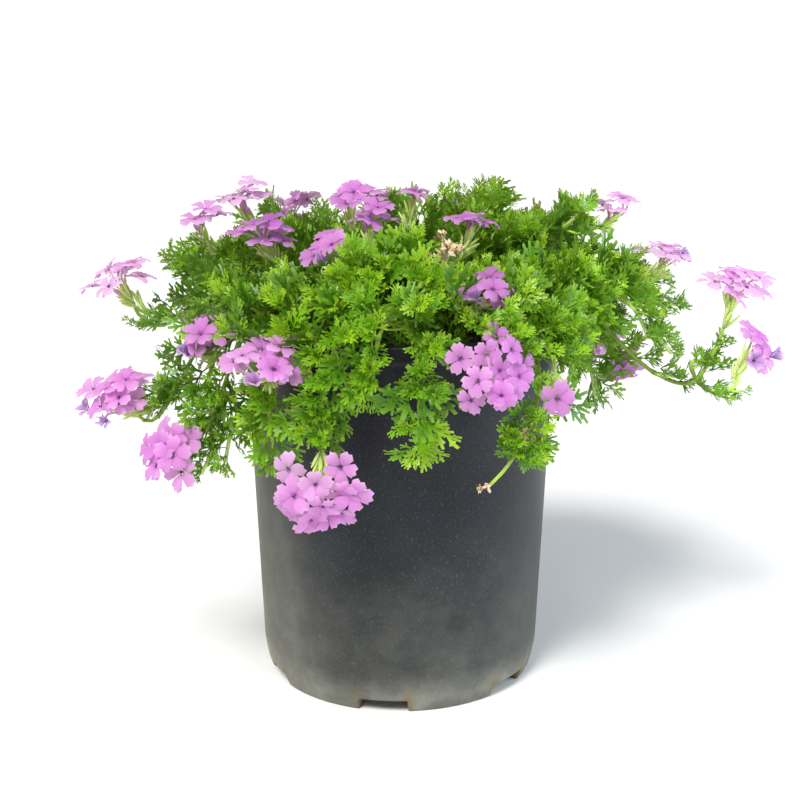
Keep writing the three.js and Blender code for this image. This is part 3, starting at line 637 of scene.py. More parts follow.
def make_mix():
    """A turned plug: its side follows the pot's wall, and its top is domed and lumpy. The dome
    falls with the fourth power of the radius."""
    rng = np.random.default_rng(MIX_SEED)
    bottom = FLOOR_TOP + ABOVE_FLOOR
    shoulder = SOIL_TOP - SOIL_DOME
    side = np.array([(FOOT_RADIUS - WALL - 1.5, bottom),
                     (pot_radius(CORNER_TOP) - WALL - SOIL_CLEAR - LUMP_ROOM, CORNER_TOP + 3),
                     (pot_radius(shoulder) - WALL - SOIL_CLEAR - LUMP_ROOM, shoulder - 2)])
    rim = side[-1, 0]
    top_r = np.linspace(rim - 0.5, 2.0, TOP_ROWS)
    top_z = SOIL_TOP - SOIL_DOME * (top_r / rim) ** 4
    line = np.concatenate([[(BOTTOM_RADIUS, bottom)], side, np.stack([top_r, top_z], -1)])
    a = np.linspace(0, 2 * np.pi, MIX_COLUMNS, endpoint=False)
    r, z = (np.repeat(line[:, k, None], len(a), axis=1) for k in (0, 1))
    x, y = r * np.cos(a), r * np.sin(a)
    z = z + lumps(x, y, rng) * smooth_step(z, shoulder - 1.5, shoulder + 0.5)
    points = np.stack([x, y, z], -1).reshape(-1, 3)
    poles = [[0, 0, bottom], [0, 0, z[-1].mean()]]
    return Patch(np.concatenate([points, poles]), grid_quads(*z.shape, closed=True),
                 end_caps(*z.shape))


mix_patch = make_mix()
print("potting mix:", len(mix_patch.quads), "quads")

# %% [markdown]
# Bark, peat and a few pale crumbs differ in colour from bit to bit. A Voronoi cell is about one
# bit, and its random colour chooses between them.

# %% Potting mix finish
BARK = [(0.0, (0.012, 0.008, 0.005)), (0.55, (0.035, 0.021, 0.012)),
        (0.93, (0.075, 0.045, 0.024)), (0.97, (0.26, 0.21, 0.15))]
DAMP = (0.45, 0.42, 0.4)
BITS = 420.0

mix_finish, tree, shader = new_material("potting_mix")
point = object_point(tree)
bits = node(tree, "ShaderNodeTexVoronoi", {"Vector": point, "Scale": BITS})
which = node(tree, "ShaderNodeSeparateColor", {0: bits.outputs["Color"]}).outputs[0]
damp = soft_patches(tree, point, 45.0, 0.35, 0.7)
fill(tree, shader, {"Base Color": mix_colour(tree, damp, ramp(tree, which, BARK), DAMP, "MULTIPLY"),
                    "Roughness": 0.95})
roughen(tree, shader, point, size=900.0, coarse_share=1.5, strength=0.7, distance=0.0015)
add_piece("potting_mix_plug", [mix_patch], [mix_finish], ["soil"])
print("potting mix replaces the soil node")

# %% [markdown]
# ## Stems
# A verbena's stems are thin, leafy and soft. They stand up out of the mix, arch over the rim and
# trail, and turn up again at their tips, where the flowers are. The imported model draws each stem
# through a few points on a smooth curve. The same points are repeated here, in millimetres, so
# that the finer stems lie in the same places: a rooted stem, the side shoots that leave it, and
# the head that each may carry.

# %% Points of the sprays
# "at" is the point of the path that a side shoot starts near, and "faces" the head's wanted axis.
SPRAYS = {
    "front_left": {"root": [-16, -48], "path": [[-22, -70, 205], [-30, -91, 199], [-36, -100, 174],
        [-37, -103, 155], [-37, -111, 143]], "head": {"florets": 6, "faces": [0, -0.8, -0.45]}},
    "front": {"root": [6, -52], "path": [[7, -74, 206], [8, -94, 197], [9, -103, 174], [9, -103, 152]],
        "side": [{"at": 0, "path": [[-6, -86, 208], [-12, -100, 196], [-14, -108, 178]]}]},
    "front_right": {"root": [24, -44], "path": [[30, -64, 210], [38, -80, 209], [42, -91, 201],
        [43, -99, 190]], "head": {"florets": 6, "faces": [0.1, -0.9, 0.35]}},
    "front_right_low": {"root": [40, -34], "path": [[52, -60, 206], [62, -76, 200], [66, -87, 178],
        [60, -94, 158], [51, -98, 142], [43, -99, 133]], "head": {"withered": True}, "side": [{"at": 1,
        "path": [[72, -79, 193], [74, -87, 178]], "head": {"florets": 1, "faces": [0.3, -0.8, 0.1]}}]},
    "right_trailing": {"root": [54, -14], "path": [[76, -18, 207], [94, -21, 203], [112, -23, 184],
        [132, -23, 167], [150, -22, 162], [162, -20, 180], [169, -16, 201]], "head": {"florets": 5,
        "faces": [0.25, -0.2, 0.95]}, "side": [{"at": 4, "path": [[162, -28, 158], [171, -29, 162],
        [174, -28, 174]], "head": {"florets": 3, "faces": [0.5, -0.6, 0.5]}}]},
    "right_low": {"root": [56, 8], "path": [[76, 8, 206], [92, 8, 200], [105, 8, 186], [112, 7, 174]],
        "head": {"florets": 3, "faces": [0.5, -0.1, -0.8]}},
    "right_upper": {"root": [48, 20], "path": [[68, 18, 211], [96, 14, 212], [119, 11, 203],
        [130, 10, 204], [133, 10, 212]], "head": {"florets": 4, "faces": [0.25, -0.05, 0.95]},
        "side": [{"at": 1, "path": [[106, -4, 209], [121, -9, 198], [129, -10, 183]]}]},
    "right_back": {"root": [36, 30], "path": [[54, 38, 216], [84, 42, 228], [104, 46, 230],
        [111, 48, 232]], "head": {"florets": 3, "faces": [0.15, 0.1, 1]}, "side": [{"at": 1,
        "path": [[88, 31, 234], [94, 26, 241]]}]},
    "mound_right": {"root": [20, 20], "path": [[28, 26, 212], [40, 35, 232], [50, 42, 249]],
        "side": [{"at": 0, "path": [[44, 20, 224], [64, 15, 235]]}]},
    "centre_right": {"root": [16, -2], "path": [[21, -2, 208], [30, 0, 221], [34, 0, 230]],
        "head": {"florets": 3, "faces": [0.1, 0.1, 1]}, "side": [{"at": 0, "path": [[21, -9, 216],
        [22, -12, 225]], "head": {"withered": True}}]},
    "centre": {"root": [-12, 2], "path": [[-14, 4, 206], [-16, 8, 229]], "head": {"florets": 3,
        "faces": [0.1, 0.05, 1]}, "side": [{"at": 0, "path": [[-24, -5, 213], [-31, -13, 220]],
        "head": {"florets": 4, "faces": [-0.3, -0.5, 0.85]}}, {"at": 0, "path": [[-20, 20, 216],
        [-25, 33, 236]], "head": {"florets": 3, "faces": [-0.1, -0.2, 1]}}]},
    "back_centre": {"root": [2, 30], "path": [[4, 42, 214], [6, 50, 237]], "head": {"florets": 2,
        "faces": [0.1, 0.15, 1]}, "side": [{"at": 0, "path": [[-6, 52, 224], [-12, 57, 235]],
        "head": {"florets": 1, "faces": [-0.1, 0.2, 1]}}]},
    "left_mound": {"root": [-30, 2], "path": [[-42, 2, 207], [-60, 2, 209], [-66, 1, 223]],
        "head": {"florets": 4, "faces": [-0.1, 0.05, 1]}},
    "left_back": {"root": [-36, 26], "path": [[-52, 36, 212], [-72, 46, 226], [-82, 49, 234]],
        "head": {"florets": 4, "faces": [-0.1, 0, 1]}, "side": [{"at": 0, "path": [[-78, 28, 215],
        [-95, 21, 215], [-102, 18, 229]], "head": {"florets": 3, "faces": [-0.1, 0, 1]}}]},
    "left": {"root": [-54, -2], "path": [[-74, -2, 207], [-92, 0, 206], [-110, 3, 195], [-127, 5, 186],
        [-137, 6, 191], [-141, 6, 200]], "head": {"florets": 5, "faces": [-0.35, -0.1, 0.93]},
        "side": [{"at": 1, "path": [[-104, 12, 214], [-118, 16, 221]]}]},
    "left_front": {"root": [-40, -18], "path": [[-60, -32, 208], [-78, -45, 192], [-87, -51, 177],
        [-91, -55, 185]], "head": {"florets": 4, "faces": [-0.35, -0.3, 0.9]}},
    "left_low": {"root": [-52, -16], "path": [[-70, -28, 206], [-88, -37, 203], [-103, -44, 182],
        [-114, -49, 162], [-125, -51, 150], [-134, -52, 156]], "head": {"florets": 6,
        "faces": [-0.45, -0.35, 0.8]}},
    "left_lowest": {"root": [-38, -36], "path": [[-56, -50, 207], [-70, -60, 205], [-81, -67, 186],
        [-88, -69, 166], [-96, -71, 150], [-105, -74, 143]], "head": {"florets": 5,
        "faces": [-0.6, -0.7, 0.3]}},
    "front_left_upper": {"root": [-26, -36], "path": [[-38, -54, 209], [-50, -69, 201], [-59, -81, 181],
        [-60, -88, 174], [-62, -93, 183]], "head": {"florets": 5, "faces": [0, -0.45, 0.9]}},
    "front_centre": {"root": [10, -24], "path": [[16, -34, 207], [27, -46, 207], [37, -56, 209]],
        "head": {"florets": 4, "faces": [0.05, -0.5, 0.85]}, "side": [{"at": 0, "path": [[12, -50, 218],
        [10, -66, 224]]}]},
    "front_top": {"root": [-8, -24], "path": [[-10, -38, 212], [-16, -56, 220], [-24, -72, 220]],
        "side": [{"at": 0, "path": [[2, -28, 226], [8, -30, 234]]}, {"at": 0, "path": [[-26, -40, 222],
        [-38, -46, 228]]}]},
    "back_left": {"root": [-20, 42], "path": [[-32, 60, 212], [-48, 78, 220], [-56, 86, 222]],
        "head": {"florets": 4, "faces": [-0.3, 0.5, 0.8]}, "side": [{"at": 0, "path": [[-66, 68, 222],
        [-84, 72, 218]]}]},
    "back": {"root": [2, 54], "path": [[3, 74, 208], [4, 92, 202], [2, 104, 178], [0, 109, 155]],
        "head": {"florets": 5, "faces": [0, 0.6, -0.7]}},
    "back_right": {"root": [28, 46], "path": [[40, 64, 212], [54, 82, 216], [61, 92, 214]],
        "head": {"florets": 4, "faces": [0.3, 0.6, 0.7]}, "side": [{"at": 0, "path": [[70, 68, 220],
        [88, 72, 214]]}]},
    "left_back_low": {"root": [-48, 28], "path": [[-66, 42, 207], [-84, 56, 202], [-97, 68, 184],
        [-104, 76, 168]], "head": {"florets": 5, "faces": [-0.6, 0.6, 0.2]}},
    "right_back_low": {"root": [52, 32], "path": [[70, 46, 206], [88, 60, 201], [101, 73, 183],
        [107, 80, 165]], "head": {"florets": 5, "faces": [0.6, 0.6, 0]}},
    "back_top": {"root": [12, 42], "path": [[20, 60, 218], [26, 80, 226], [28, 92, 224]],
        "head": {"florets": 3, "faces": [0, 0.4, 0.9]}, "side": [{"at": 0, "path": [[0, 72, 226],
        [-14, 84, 228]]}]},
}
print(len(SPRAYS), "sprays")

# %% Smooth lines
STEM_SUNK = 13
STRAIGHT_ABOVE_SOIL = 8
STEM_STEP = 22


def smooth_line(points, steps=24):
    """A centripetal Catmull-Rom curve through the points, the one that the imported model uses. Each
    stretch is a cubic whose end slopes weigh the neighbouring chords by the root of their length.
    Beyond its ends the curve is given one more point, as far again in a straight line."""
    p = np.asarray(points, float)
    p = np.concatenate([[2 * p[0] - p[1]], p, [2 * p[-1] - p[-2]]])
    gaps = np.sqrt(np.linalg.norm(np.diff(p, axis=0), axis=1))[:, None]
    a, b, c = gaps[:-2], gaps[1:-1], gaps[2:]
    p0, p1, p2, p3 = p[:-3], p[1:-2], p[2:-1], p[3:]
    slope1 = ((p1 - p0) / a - (p2 - p0) / (a + b) + (p2 - p1) / b) * b
    slope2 = ((p2 - p1) / b - (p3 - p1) / (b + c) + (p3 - p2) / c) * b
    t = np.linspace(0, 1, steps, endpoint=False)[None, :, None]
    p1, p2, slope1, slope2 = (v[:, None] for v in (p1, p2, slope1, slope2))
    curve = (p1 + slope1 * t + (3 * (p2 - p1) - 2 * slope1 - slope2) * t ** 2
             + (2 * (p1 - p2) + slope1 + slope2) * t ** 3)
    return np.concatenate([curve.reshape(-1, 3), p[-2:-1]])


def lengths_along(line):
    """The length of the line up to each of its points."""
    return np.append(0, np.cumsum(np.linalg.norm(np.diff(line, axis=0), axis=1)))


def at_lengths(line, lengths):
    """The points of a line at the given lengths along it."""
    s = lengths_along(line)
    return np.stack([np.interp(lengths, s, line[:, k]) for k in range(3)], -1)


def evenly(line, count):
    """count + 1 points of the line, at equal lengths."""
    return at_lengths(line, np.linspace(0, lengths_along(line)[-1], count + 1))


def joints(line):
    """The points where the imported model's stem bends: one about every 22 mm."""
    return evenly(line, max(2, round(lengths_along(line)[-1] / STEM_STEP)))


def rooted_line(root, path):
    """A stem's line: upright in the mix, then through its points."""
    x, y = root
    start = [(x, y, SOIL_TOP - STEM_SUNK), (x, y, SOIL_TOP - STEM_SUNK / 2),
             (x, y, SOIL_TOP + STRAIGHT_ABOVE_SOIL)]
    return smooth_line([*start, *path])


def side_line(stem, near, path):
    """A side shoot's line, from the stem's joint that is nearest to a point."""
    bends = joints(stem)
    start = bends[np.argmin(np.linalg.norm(bends - near, axis=1))]
    return smooth_line([start, *path])


# %% [markdown]
# A stem is a thin tube: a ring of points carried along its line. To keep the ring from twisting,
# its sides are set by the plane that the line lies in best, which numpy finds as the direction in
# which the points spread least. Many tubes of the same kind are made in one go, as one array, and
# each ends in a point, so that it is closed.

# %% Tubes
START_POINT = 0.4
END_POINT = 0.6


def frames(lines):
    """Tangent, side and upper direction at each point of lines of shape (many, points, 3)."""
    tangent = unit(np.gradient(lines, axis=1))
    spread = lines - lines.mean(axis=1, keepdims=True)
    flat_normal = np.linalg.svd(spread, full_matrices=True)[2][:, 2][:, None, :]
    side = unit(np.cross(tangent, flat_normal))
    return tangent, side, np.cross(side, tangent)


def tubes(lines, radii, sides, finish=0, **values):
    """Round tubes along lines of shape (many, points, 3): each ring is the line's point plus its
    radius times (cos a of the side less sin a of the upper direction). Both ends are closed by a
    point a little further on. Values may be given per line and point."""
    lines = np.asarray(lines, float)
    many, steps = lines.shape[:2]
    radii = np.broadcast_to(radii, (many, steps))
    tangent, side, upper = frames(lines)
    a = np.linspace(0, 2 * np.pi, sides, endpoint=False)
    ring = side[:, :, None] * np.cos(a)[:, None] - upper[:, :, None] * np.sin(a)[:, None]
    rings = lines[:, :, None] + ring * radii[:, :, None, None]
    ends = np.stack([lines[:, 0] - tangent[:, 0] * radii[:, 0, None] * START_POINT,
                     lines[:, -1] + tangent[:, -1] * radii[:, -1, None] * END_POINT], 1)
    points = np.concatenate([rings.reshape(many, -1, 3), ends], axis=1)
    start = (np.arange(many) * points.shape[1])[:, None, None]
    spread = {}
    for key, value in values.items():
        here = np.broadcast_to(value, (many, steps))
        spread[key] = np.concatenate([np.repeat(here, sides, axis=1), here[:, :1], here[:, -1:]],
                                     axis=1).ravel()
    return Patch(points, grid_quads(steps, sides, closed=True) + start,
                 end_caps(steps, sides) + start, finish, **spread)


def outward_share(patch):
    """The share of a patch's four-sided faces whose normal leans out from the patch's middle, for
    checking that a tube is not inside out."""
    corners = patch.points[patch.quads]
    normals = np.cross(corners[:, 2] - corners[:, 0], corners[:, 3] - corners[:, 1])
    return float((np.einsum("ij,ij->i", normals, corners.mean(1) - patch.points.mean(0)) > 0).mean())


trial = tubes(np.linspace((0, 0, 0), (0, 0, 10), 5)[None], 1.0, sides=6)
print("a straight tube's faces that point outwards:", outward_share(trial))

# %% [markdown]
# ## Leaves
# A leaf is 10 to 30 mm long and cut to its rib into narrow lobes, each with three blunt fingers. A
# photographed leaf on a flat card would show its edge in no other view, and a subdivided sheet
# would cost thousands of faces. So a leaf is one connected sheet of 37 faces: a strip for the rib,
# and six strips for the lobes that start on stretches of the rib's edge, each with a finger on
# both sides. Thousands of leaves are worked out together, each with its own lengths and angles.

# %% Leaf shape
LOBE_AT = np.array([0.28, 0.50, 0.70])
LOBE_ROOT = 0.075
LOBE_LENGTH = np.array([0.42, 0.38, 0.27])
LOBE_LENGTH_VARIES = (0.82, 1.15)
LOBE_LEAN_DEG = np.array([46, 38, 29])
LOBE_LEAN_VARIES = 0.12
LOBE_CURVE = 0.10
LOBE_STEPS = np.array([0.34, 0.60, 1.0])
LOBE_HALF = np.array([0.028, 0.033, 0.028])
LOWER_FINGER = np.array([0.18, 0.14, 0.05])
UPPER_FINGER = np.array([0.13, 0.07, 0.04])
FINGER_VARIES = (0.8, 1.2)
FINGER_LEAN_DEG = 33
FINGER_HALF = 0.023
RIB_AT = np.array([0, *np.stack([LOBE_AT, LOBE_AT + LOBE_ROOT], 1).ravel(), 1])
RIB_HALF = np.array([0.016, 0.020, 0.026, 0.026, 0.028, 0.028, 0.034, 0.022])
POINTS_OF_LOBES = 36
POINTS_OF_FINGERS = 24
LEAF_POINTS = 2 * len(RIB_AT) + POINTS_OF_LOBES + POINTS_OF_FINGERS


def leaf_faces():
    """The faces of one leaf. Its points are the rib's left and right edges, then for the right and
    the left side each lobe's lower and upper edge, and then the fingers' ends."""
    rib = len(RIB_AT)
    lobe_start, finger_start = 2 * rib, 2 * rib + POINTS_OF_LOBES
    faces = [(i, rib + i, rib + i + 1, i + 1) for i in range(rib - 1)]
    for side in (0, 1):
        edge = rib if side == 0 else 0
        for lobe in range(3):
            first = lobe_start + (side * 3 + lobe) * 6
            low = [edge + 1 + 2 * lobe, *range(first, first + 3)]
            high = [edge + 2 + 2 * lobe, *range(first + 3, first + 6)]
            ends = finger_start + (side * 3 + lobe) * 4
            strips = [(low[i], low[i + 1], high[i + 1], high[i]) for i in range(3)]
            strips.append((low[1], ends, ends + 1, low[2]))
            strips.append((high[1], high[2], ends + 3, ends + 2))
            faces += [f if side == 0 else f[::-1] for f in strips]
    return np.array(faces)


LEAF_FACES = leaf_faces()


def heading(angle):
    """A direction in the plane at an angle from the y axis, towards x."""
    return np.stack([np.sin(angle), np.cos(angle)], -1)


def finger_ends(edge, angle, size):
    """The two ends of a finger that grows from the middle stretch of a lobe's edge."""
    middle = edge[..., :2, :].mean(-2) + heading(angle) * size[..., None]
    half = heading(angle + np.pi / 2) * FINGER_HALF
    return np.stack([middle + half, middle - half], -2)


def leaf_outlines(many, rng):
    """Flat outlines of leaves one unit long, as points (x, y), and how near each point is to the
    end of its finger. A lobe runs from the middle of its root edge in its own direction, and its
    edges lie half a width to each side."""
    rib_x = np.broadcast_to(RIB_HALF, (many, len(RIB_AT)))
    rib_y = np.broadcast_to(RIB_AT, (many, len(RIB_AT)))
    lean = np.radians(LOBE_LEAN_DEG) + rng.normal(0, LOBE_LEAN_VARIES, (many, 2, 3))
    length = (LOBE_LENGTH * rng.uniform(*LOBE_LENGTH_VARIES, (many, 2, 3)))[..., None]
    root = np.stack([np.full(3, RIB_HALF[2]), LOBE_AT + LOBE_ROOT / 2], -1)
    centre = root[:, None] + heading(lean)[..., None, :] * (length * LOBE_STEPS)[..., None]
    centre[..., 1] += LOBE_CURVE * length * LOBE_STEPS ** 2
    half = heading(lean + np.pi / 2)[..., None, :] * LOBE_HALF[:, None]
    lower, upper = centre + half, centre - half
    spread = np.radians(FINGER_LEAN_DEG)
    vary = rng.uniform(*FINGER_VARIES, (2, many, 2, 3))
    low_end = finger_ends(lower, lean + spread, LOWER_FINGER * vary[0])
    high_end = finger_ends(upper, lean - spread, UPPER_FINGER * vary[1])[..., ::-1, :]
    mirror = np.array([[1, 1], [-1, 1]])[None, :, None, None]
    lobes, fingers = ((np.concatenate(pair, axis=-2) * mirror).reshape(many, -1, 2)
                      for pair in ((lower, upper), (low_end, high_end)))
    outline = np.concatenate([np.stack([-rib_x, rib_y], -1), np.stack([rib_x, rib_y], -1),
                              lobes, fingers], axis=1)
    tip = np.concatenate([np.tile(RIB_AT ** 3, 2), np.tile(LOBE_STEPS, POINTS_OF_LOBES // 3),
                          np.ones(POINTS_OF_FINGERS)])
    return outline, tip


trial_outline = leaf_outlines(1, np.random.default_rng(0))[0]
print("a leaf:", len(LEAF_FACES), "faces,", trial_outline.shape[1], "points")

# %% Leaves in place
POT_CLEAR = 0.9
MIX_CLEAR = 2.5
DRY_SHARE = 0.012
RISE, BEND, FOLD, LOBE_SAG = (0.0, 0.25), (0.12, 0.50), (0.25, 1.0), (0.1, 0.6)
RIPPLE = 0.02
SIDE_BEND = 0.10
TWIST = 0.35
ANY_PHASE = (0, 6.28)


def clear_of_pot(points, root):
    """Points of soft pieces moved off the pot and the mix. Beside the wall they are moved outwards
    or inwards along their radius, to the side that their root is on, over the rim they are lifted,
    and over the mix too."""
    z = points[..., 2]
    r = np.hypot(points[..., 0], points[..., 1])
    root_r = np.hypot(root[:, 0], root[:, 1])[:, None]
    wall = np.where(z > LIP_BOTTOM - 3, RIM_RADIUS, pot_radius(z))
    inner = wall - WALL - 2 * POT_CLEAR
    rooted_out = (root_r > wall) & (root[:, 2] < POT_HEIGHT + 4)[:, None]
    within = (z < POT_HEIGHT + POT_CLEAR) & (r < wall + POT_CLEAR)
    in_wall = within & (r > inner)
    out = within & (rooted_out | (r > wall - WALL))
    on_rim = in_wall & ~rooted_out & (z > POT_HEIGHT - 6)
    new_r = np.where(on_rim, r, np.where(out, wall + POT_CLEAR, np.where(in_wall, inner, r)))
    new_z = np.where(on_rim, POT_HEIGHT + POT_CLEAR, z)
    over_mix = new_r < wall - WALL
    new_z = np.where(over_mix, np.maximum(new_z, SOIL_TOP + MIX_CLEAR), new_z)
    scale = (new_r / np.maximum(r, 1e-6))[..., None]
    return np.concatenate([points[..., :2] * scale, new_z[..., None]], -1)


def leaves(root, along, upper, length, tint, rng):
    """Blades in place: x across, y along and z up from the upper side, scaled by the length. The
    height over a blade is a rise, less a bend that grows with y squared, plus a fold along the rib
    that grows with |x|, less a sag of the lobes with x squared. Each blade also twists a little
    about its rib."""
    many = len(root)
    outline, tip = leaf_outlines(many, rng)
    x, y = outline[..., 0], outline[..., 1]
    rise, bend, fold, sag = (rng.uniform(*limits, (many, 1)) for limits in (RISE, BEND, FOLD, LOBE_SAG))
    z = rise * y - bend * y ** 2 + fold * np.abs(x) - sag * x ** 2
    z = z + RIPPLE * np.sin(23 * x + 17 * y + rng.uniform(*ANY_PHASE, (many, 1)))
    x = x + rng.normal(0, SIDE_BEND, (many, 1)) * y ** 2
    twist = rng.normal(0, TWIST, (many, 1)) * y
    x, z = x * np.cos(twist) - z * np.sin(twist), x * np.sin(twist) + z * np.cos(twist)
    ahead = unit(along)
    right = unit(np.cross(ahead, upper))
    face = np.cross(right, ahead)
    local = np.stack([x, y, z], -1) * np.asarray(length)[:, None, None]
    points = clear_of_pot(root[:, None] + local @ np.stack([right, ahead, face], 1), root)
    quads = LEAF_FACES[None] + (np.arange(many) * LEAF_POINTS)[:, None, None]
    dry = (rng.random(many) < DRY_SHARE) & (tint < 0.5)
    return Patch(points, quads, tint=np.repeat(tint, LEAF_POINTS), tip=np.tile(tip, many),
                 dry=np.repeat(dry, LEAF_POINTS))


print("leaves ready")

# %% [markdown]
# ### Where leaves grow
# Leaves stand in opposite pairs, each pair a quarter turn from the one before. The pairs are close
# and small at a shoot's tip and further apart and larger below, and a short leafy shoot comes from
# the axil of most older leaves, which is what makes the mound so dense. Leaves turn towards the
# light: up, and away from the middle of the plant.

# %% Growth rules
TIP_GAP = 3.4
GAP_GROWTH = 1.25
WIDEST_GAP = 12
MOST_PAIRS = 60
LINE_STEPS = 60
OLD_AFTER = 55
YOUNGEST_SIZE = 0.42
SIZE_GROWTH = 0.14
SIZE_VARIES = (0.82, 1.14)
TURN_VARIES = 0.2
OUTWARD_RADIUS = 110
UPWARD = 0.75
SHOOT_FROM_AGE = 0.22
SHOOT_LENGTH = (11, 25)
HANGING_SHOOT = (7, 13)
# These paint leaves paler higher up and darker lower down: painted light, for the light from above.
PALER_ABOVE = 212
PALER_OVER = 25
YOUNG_TINT = 0.95
TINT_PER_AGE = 0.68
PAINTED_LIGHT_PER_HEIGHT = 0.11
TINT_VARIES = 0.17
FORWARD_PER_AGE = 0.55
LIFT = 0.60
LIFT_FROM_BELOW = 1.3
OFF_WALL = 0.2
FACE_VARIES = 0.15


def skyward(points):
    """The direction of most light at a place: up, and outwards in proportion to the radius."""
    return unit(points * [1, 1, 0] / OUTWARD_RADIUS + UP * UPWARD)


def outward_from_wall(points):
    """The level direction away from the pot's axis."""
    return unit(points * [1, 1, 0] + 1e-9)


def leaf_pairs(line, bare_root, bare_tip, longest, rng):
    """Where pairs of leaves grow on a line, measured back from its tip by growing gaps: arrays of
    root, tangent, outward direction, length and age from 0 at the tip to 1."""
    total = lengths_along(line)[-1]
    gaps = np.minimum(TIP_GAP + GAP_GROWTH * np.arange(MOST_PAIRS), WIDEST_GAP)
    from_tip = bare_tip + np.append(0, np.cumsum(gaps))
    from_tip = from_tip[from_tip < total - bare_root]
    k = np.arange(len(from_tip))
    if len(k) == 0:
        return {key: np.zeros((0, 3)) for key in ("root", "tangent", "out")} | {
            "length": np.zeros(0), "age": np.zeros(0)}
    tangent, side, upper = (v[0] for v in frames(evenly(line, LINE_STEPS)[None]))
    near = np.round((total - from_tip) / total * LINE_STEPS).astype(int)
    turn = rng.uniform(0, np.pi) + k * np.pi / 2 + rng.normal(0, TURN_VARIES, len(k))
    out = side[near] * np.cos(turn)[:, None] + upper[near] * np.sin(turn)[:, None]
    size = np.minimum(1, YOUNGEST_SIZE + SIZE_GROWTH * k) * longest
    pair = {"root": at_lengths(line, total - from_tip), "tangent": tangent[near], "out": out,
            "length": size, "age": np.minimum(1, from_tip / OLD_AFTER)}
    both = {key: np.concatenate([value, value]) for key, value in pair.items()}
    both["out"][len(k):] *= -1
    both["length"] = both["length"] * rng.uniform(*SIZE_VARIES, 2 * len(k))
    return both


def axil_shoots(pairs, share, rng):
    """Short curved lines from the axils of leaves: out and forward from the stem, then up to the
    light. Young leaves have none, and those that hang beside the pot lean away from it."""
    lines = []
    for root, tangent, out, age in zip(pairs["root"], pairs["tangent"], pairs["out"], pairs["age"]):
        if age < SHOOT_FROM_AGE or rng.random() > share:
            continue
        hanging = root[2] < POT_HEIGHT + 2
        length = rng.uniform(*(HANGING_SHOOT if hanging else SHOOT_LENGTH))
        sky = skyward(root)
        ahead = unit(out * 0.8 + tangent * 0.55 + sky * 0.5)
        if hanging:
            ahead = unit(ahead + outward_from_wall(root) * 0.5)
        middle = root + ahead * length * 0.5
        end = middle + unit(ahead + sky * 0.9 + tangent * 0.3) * length * 0.5
        lines.append(smooth_line([root, middle, end], 6))
    return lines


def blades(pairs, rng):
    """The leaves of all the pairs in one patch. A leaf leaves its stem between outward and
    forward, more forward when young, and bends towards the light. Beside the pot's wall it is
    turned along the wall. Young leaves are pale. Leaves on top are painted paler and low ones darker:
    painted light for how much light they get."""
    root, tangent, out, age = (pairs[k] for k in ("root", "tangent", "out", "age"))
    sky = skyward(root)
    forward = (1.0 - FORWARD_PER_AGE * age)[:, None]
    lift = LIFT + LIFT_FROM_BELOW * np.maximum(0, -out[:, 2:])
    along = unit(out + tangent * forward + sky * lift)
    outward = outward_from_wall(root)
    beside = (root[:, 2] < POT_HEIGHT + 6) & (np.hypot(root[:, 0], root[:, 1]) > pot_radius(root[:, 2]))
    inward = np.minimum(0, (along * outward).sum(-1) - OFF_WALL)[:, None]
    along = np.where(beside[:, None], unit(along - outward * inward), along)
    upper = unit(tangent * 0.7 + sky * 0.9 + rng.normal(0, FACE_VARIES, root.shape))
    # Painted light: the tint rises with height over the mound and falls below it.
    high = np.clip((root[:, 2] - PALER_ABOVE) / PALER_OVER, -1, 1)
    tint = YOUNG_TINT - TINT_PER_AGE * age + PAINTED_LIGHT_PER_HEIGHT * high
    tint = np.clip(tint + rng.normal(0, TINT_VARIES, len(root)), 0, 1)
    return leaves(root, along, upper, pairs["length"], tint, rng)


print("growth rules ready")

# %% [markdown]
# ## Flower heads
# A head is a short spike at the end of a stem. Each of its flowers stands in a slender hairy sleeve,
# the calyx. A thin tube comes out of the sleeve and opens into five notched petals round a dark
# throat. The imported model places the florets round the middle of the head, and the same rule is
# used here with more florets, so that they overlap as on the plant.

# %% Where the florets of a head stand
MIDDLE_PAST_TIP = 2.2
MOST_BEND = np.radians(70)


def turned(vectors, axis, angle):
    """Vectors turned about an axis by an angle: Rodrigues' formula."""
    axis = np.broadcast_to(axis, np.shape(vectors))
    cos, sin = np.cos(angle), np.sin(angle)
    return (vectors * cos + np.cross(axis, vectors) * sin
            + axis * (axis * vectors).sum(-1, keepdims=True) * (1 - cos))


def head_axis(stemward, wanted):
    """The direction that the head faces, or the nearest that bends no more than 70 degrees."""
    wanted = unit(np.array(wanted, float))
    angle = np.arccos(np.clip(stemward @ wanted, -1, 1))
    if angle <= MOST_BEND:
        return wanted
    return turned(stemward, unit(np.cross(stemward, wanted)), MOST_BEND)


def leaning(axis, lean_deg):
    """The first direction of a ring that leans from the axis by an angle."""
    return turned(axis, unit(np.cross((0.3, 1, 0.2), axis)), np.radians(lean_deg))


def floret_directions(count, axis, more, rng):
    """One floret ahead and the others in a ring round it, or with four or fewer all in the ring.
    The further florets stand between those of the ring, nearer to the axis."""
    crowned = count > 4
    ringed = count - crowned
    outer = leaning(axis, 72 if crowned else 16 + 10 * count)
    inner = leaning(axis, 40 if crowned else 9 + 4 * count)
    turns = (np.arange(more) + 0.5) / ringed * 2 * np.pi + rng.normal(0, 0.15, more)
    ring = [turned(outer, axis, 2 * np.pi * i / ringed) for i in range(ringed)]
    return np.array([axis] * crowned + ring + [turned(inner, axis, turn) for turn in turns])


print("a head of six:", floret_directions(6, UP, 0, np.random.default_rng(0)).round(2).tolist())

# %% Petals
FLORET_RADIUS = 8.4
THROAT = 1.0
PETALS = 5
PETAL_ROWS = np.array([0, 0.34, 0.74, 1.0])
PETAL_COLUMNS = 5
TIP_NOTCH = (-1.7, 0.05, -0.9, 0.05, -1.7)
STRETCH_VARIES = 0.06
RUFFLE = 0.45
LIFT_VARIES = 0.13
TILT_VARIES = 0.16


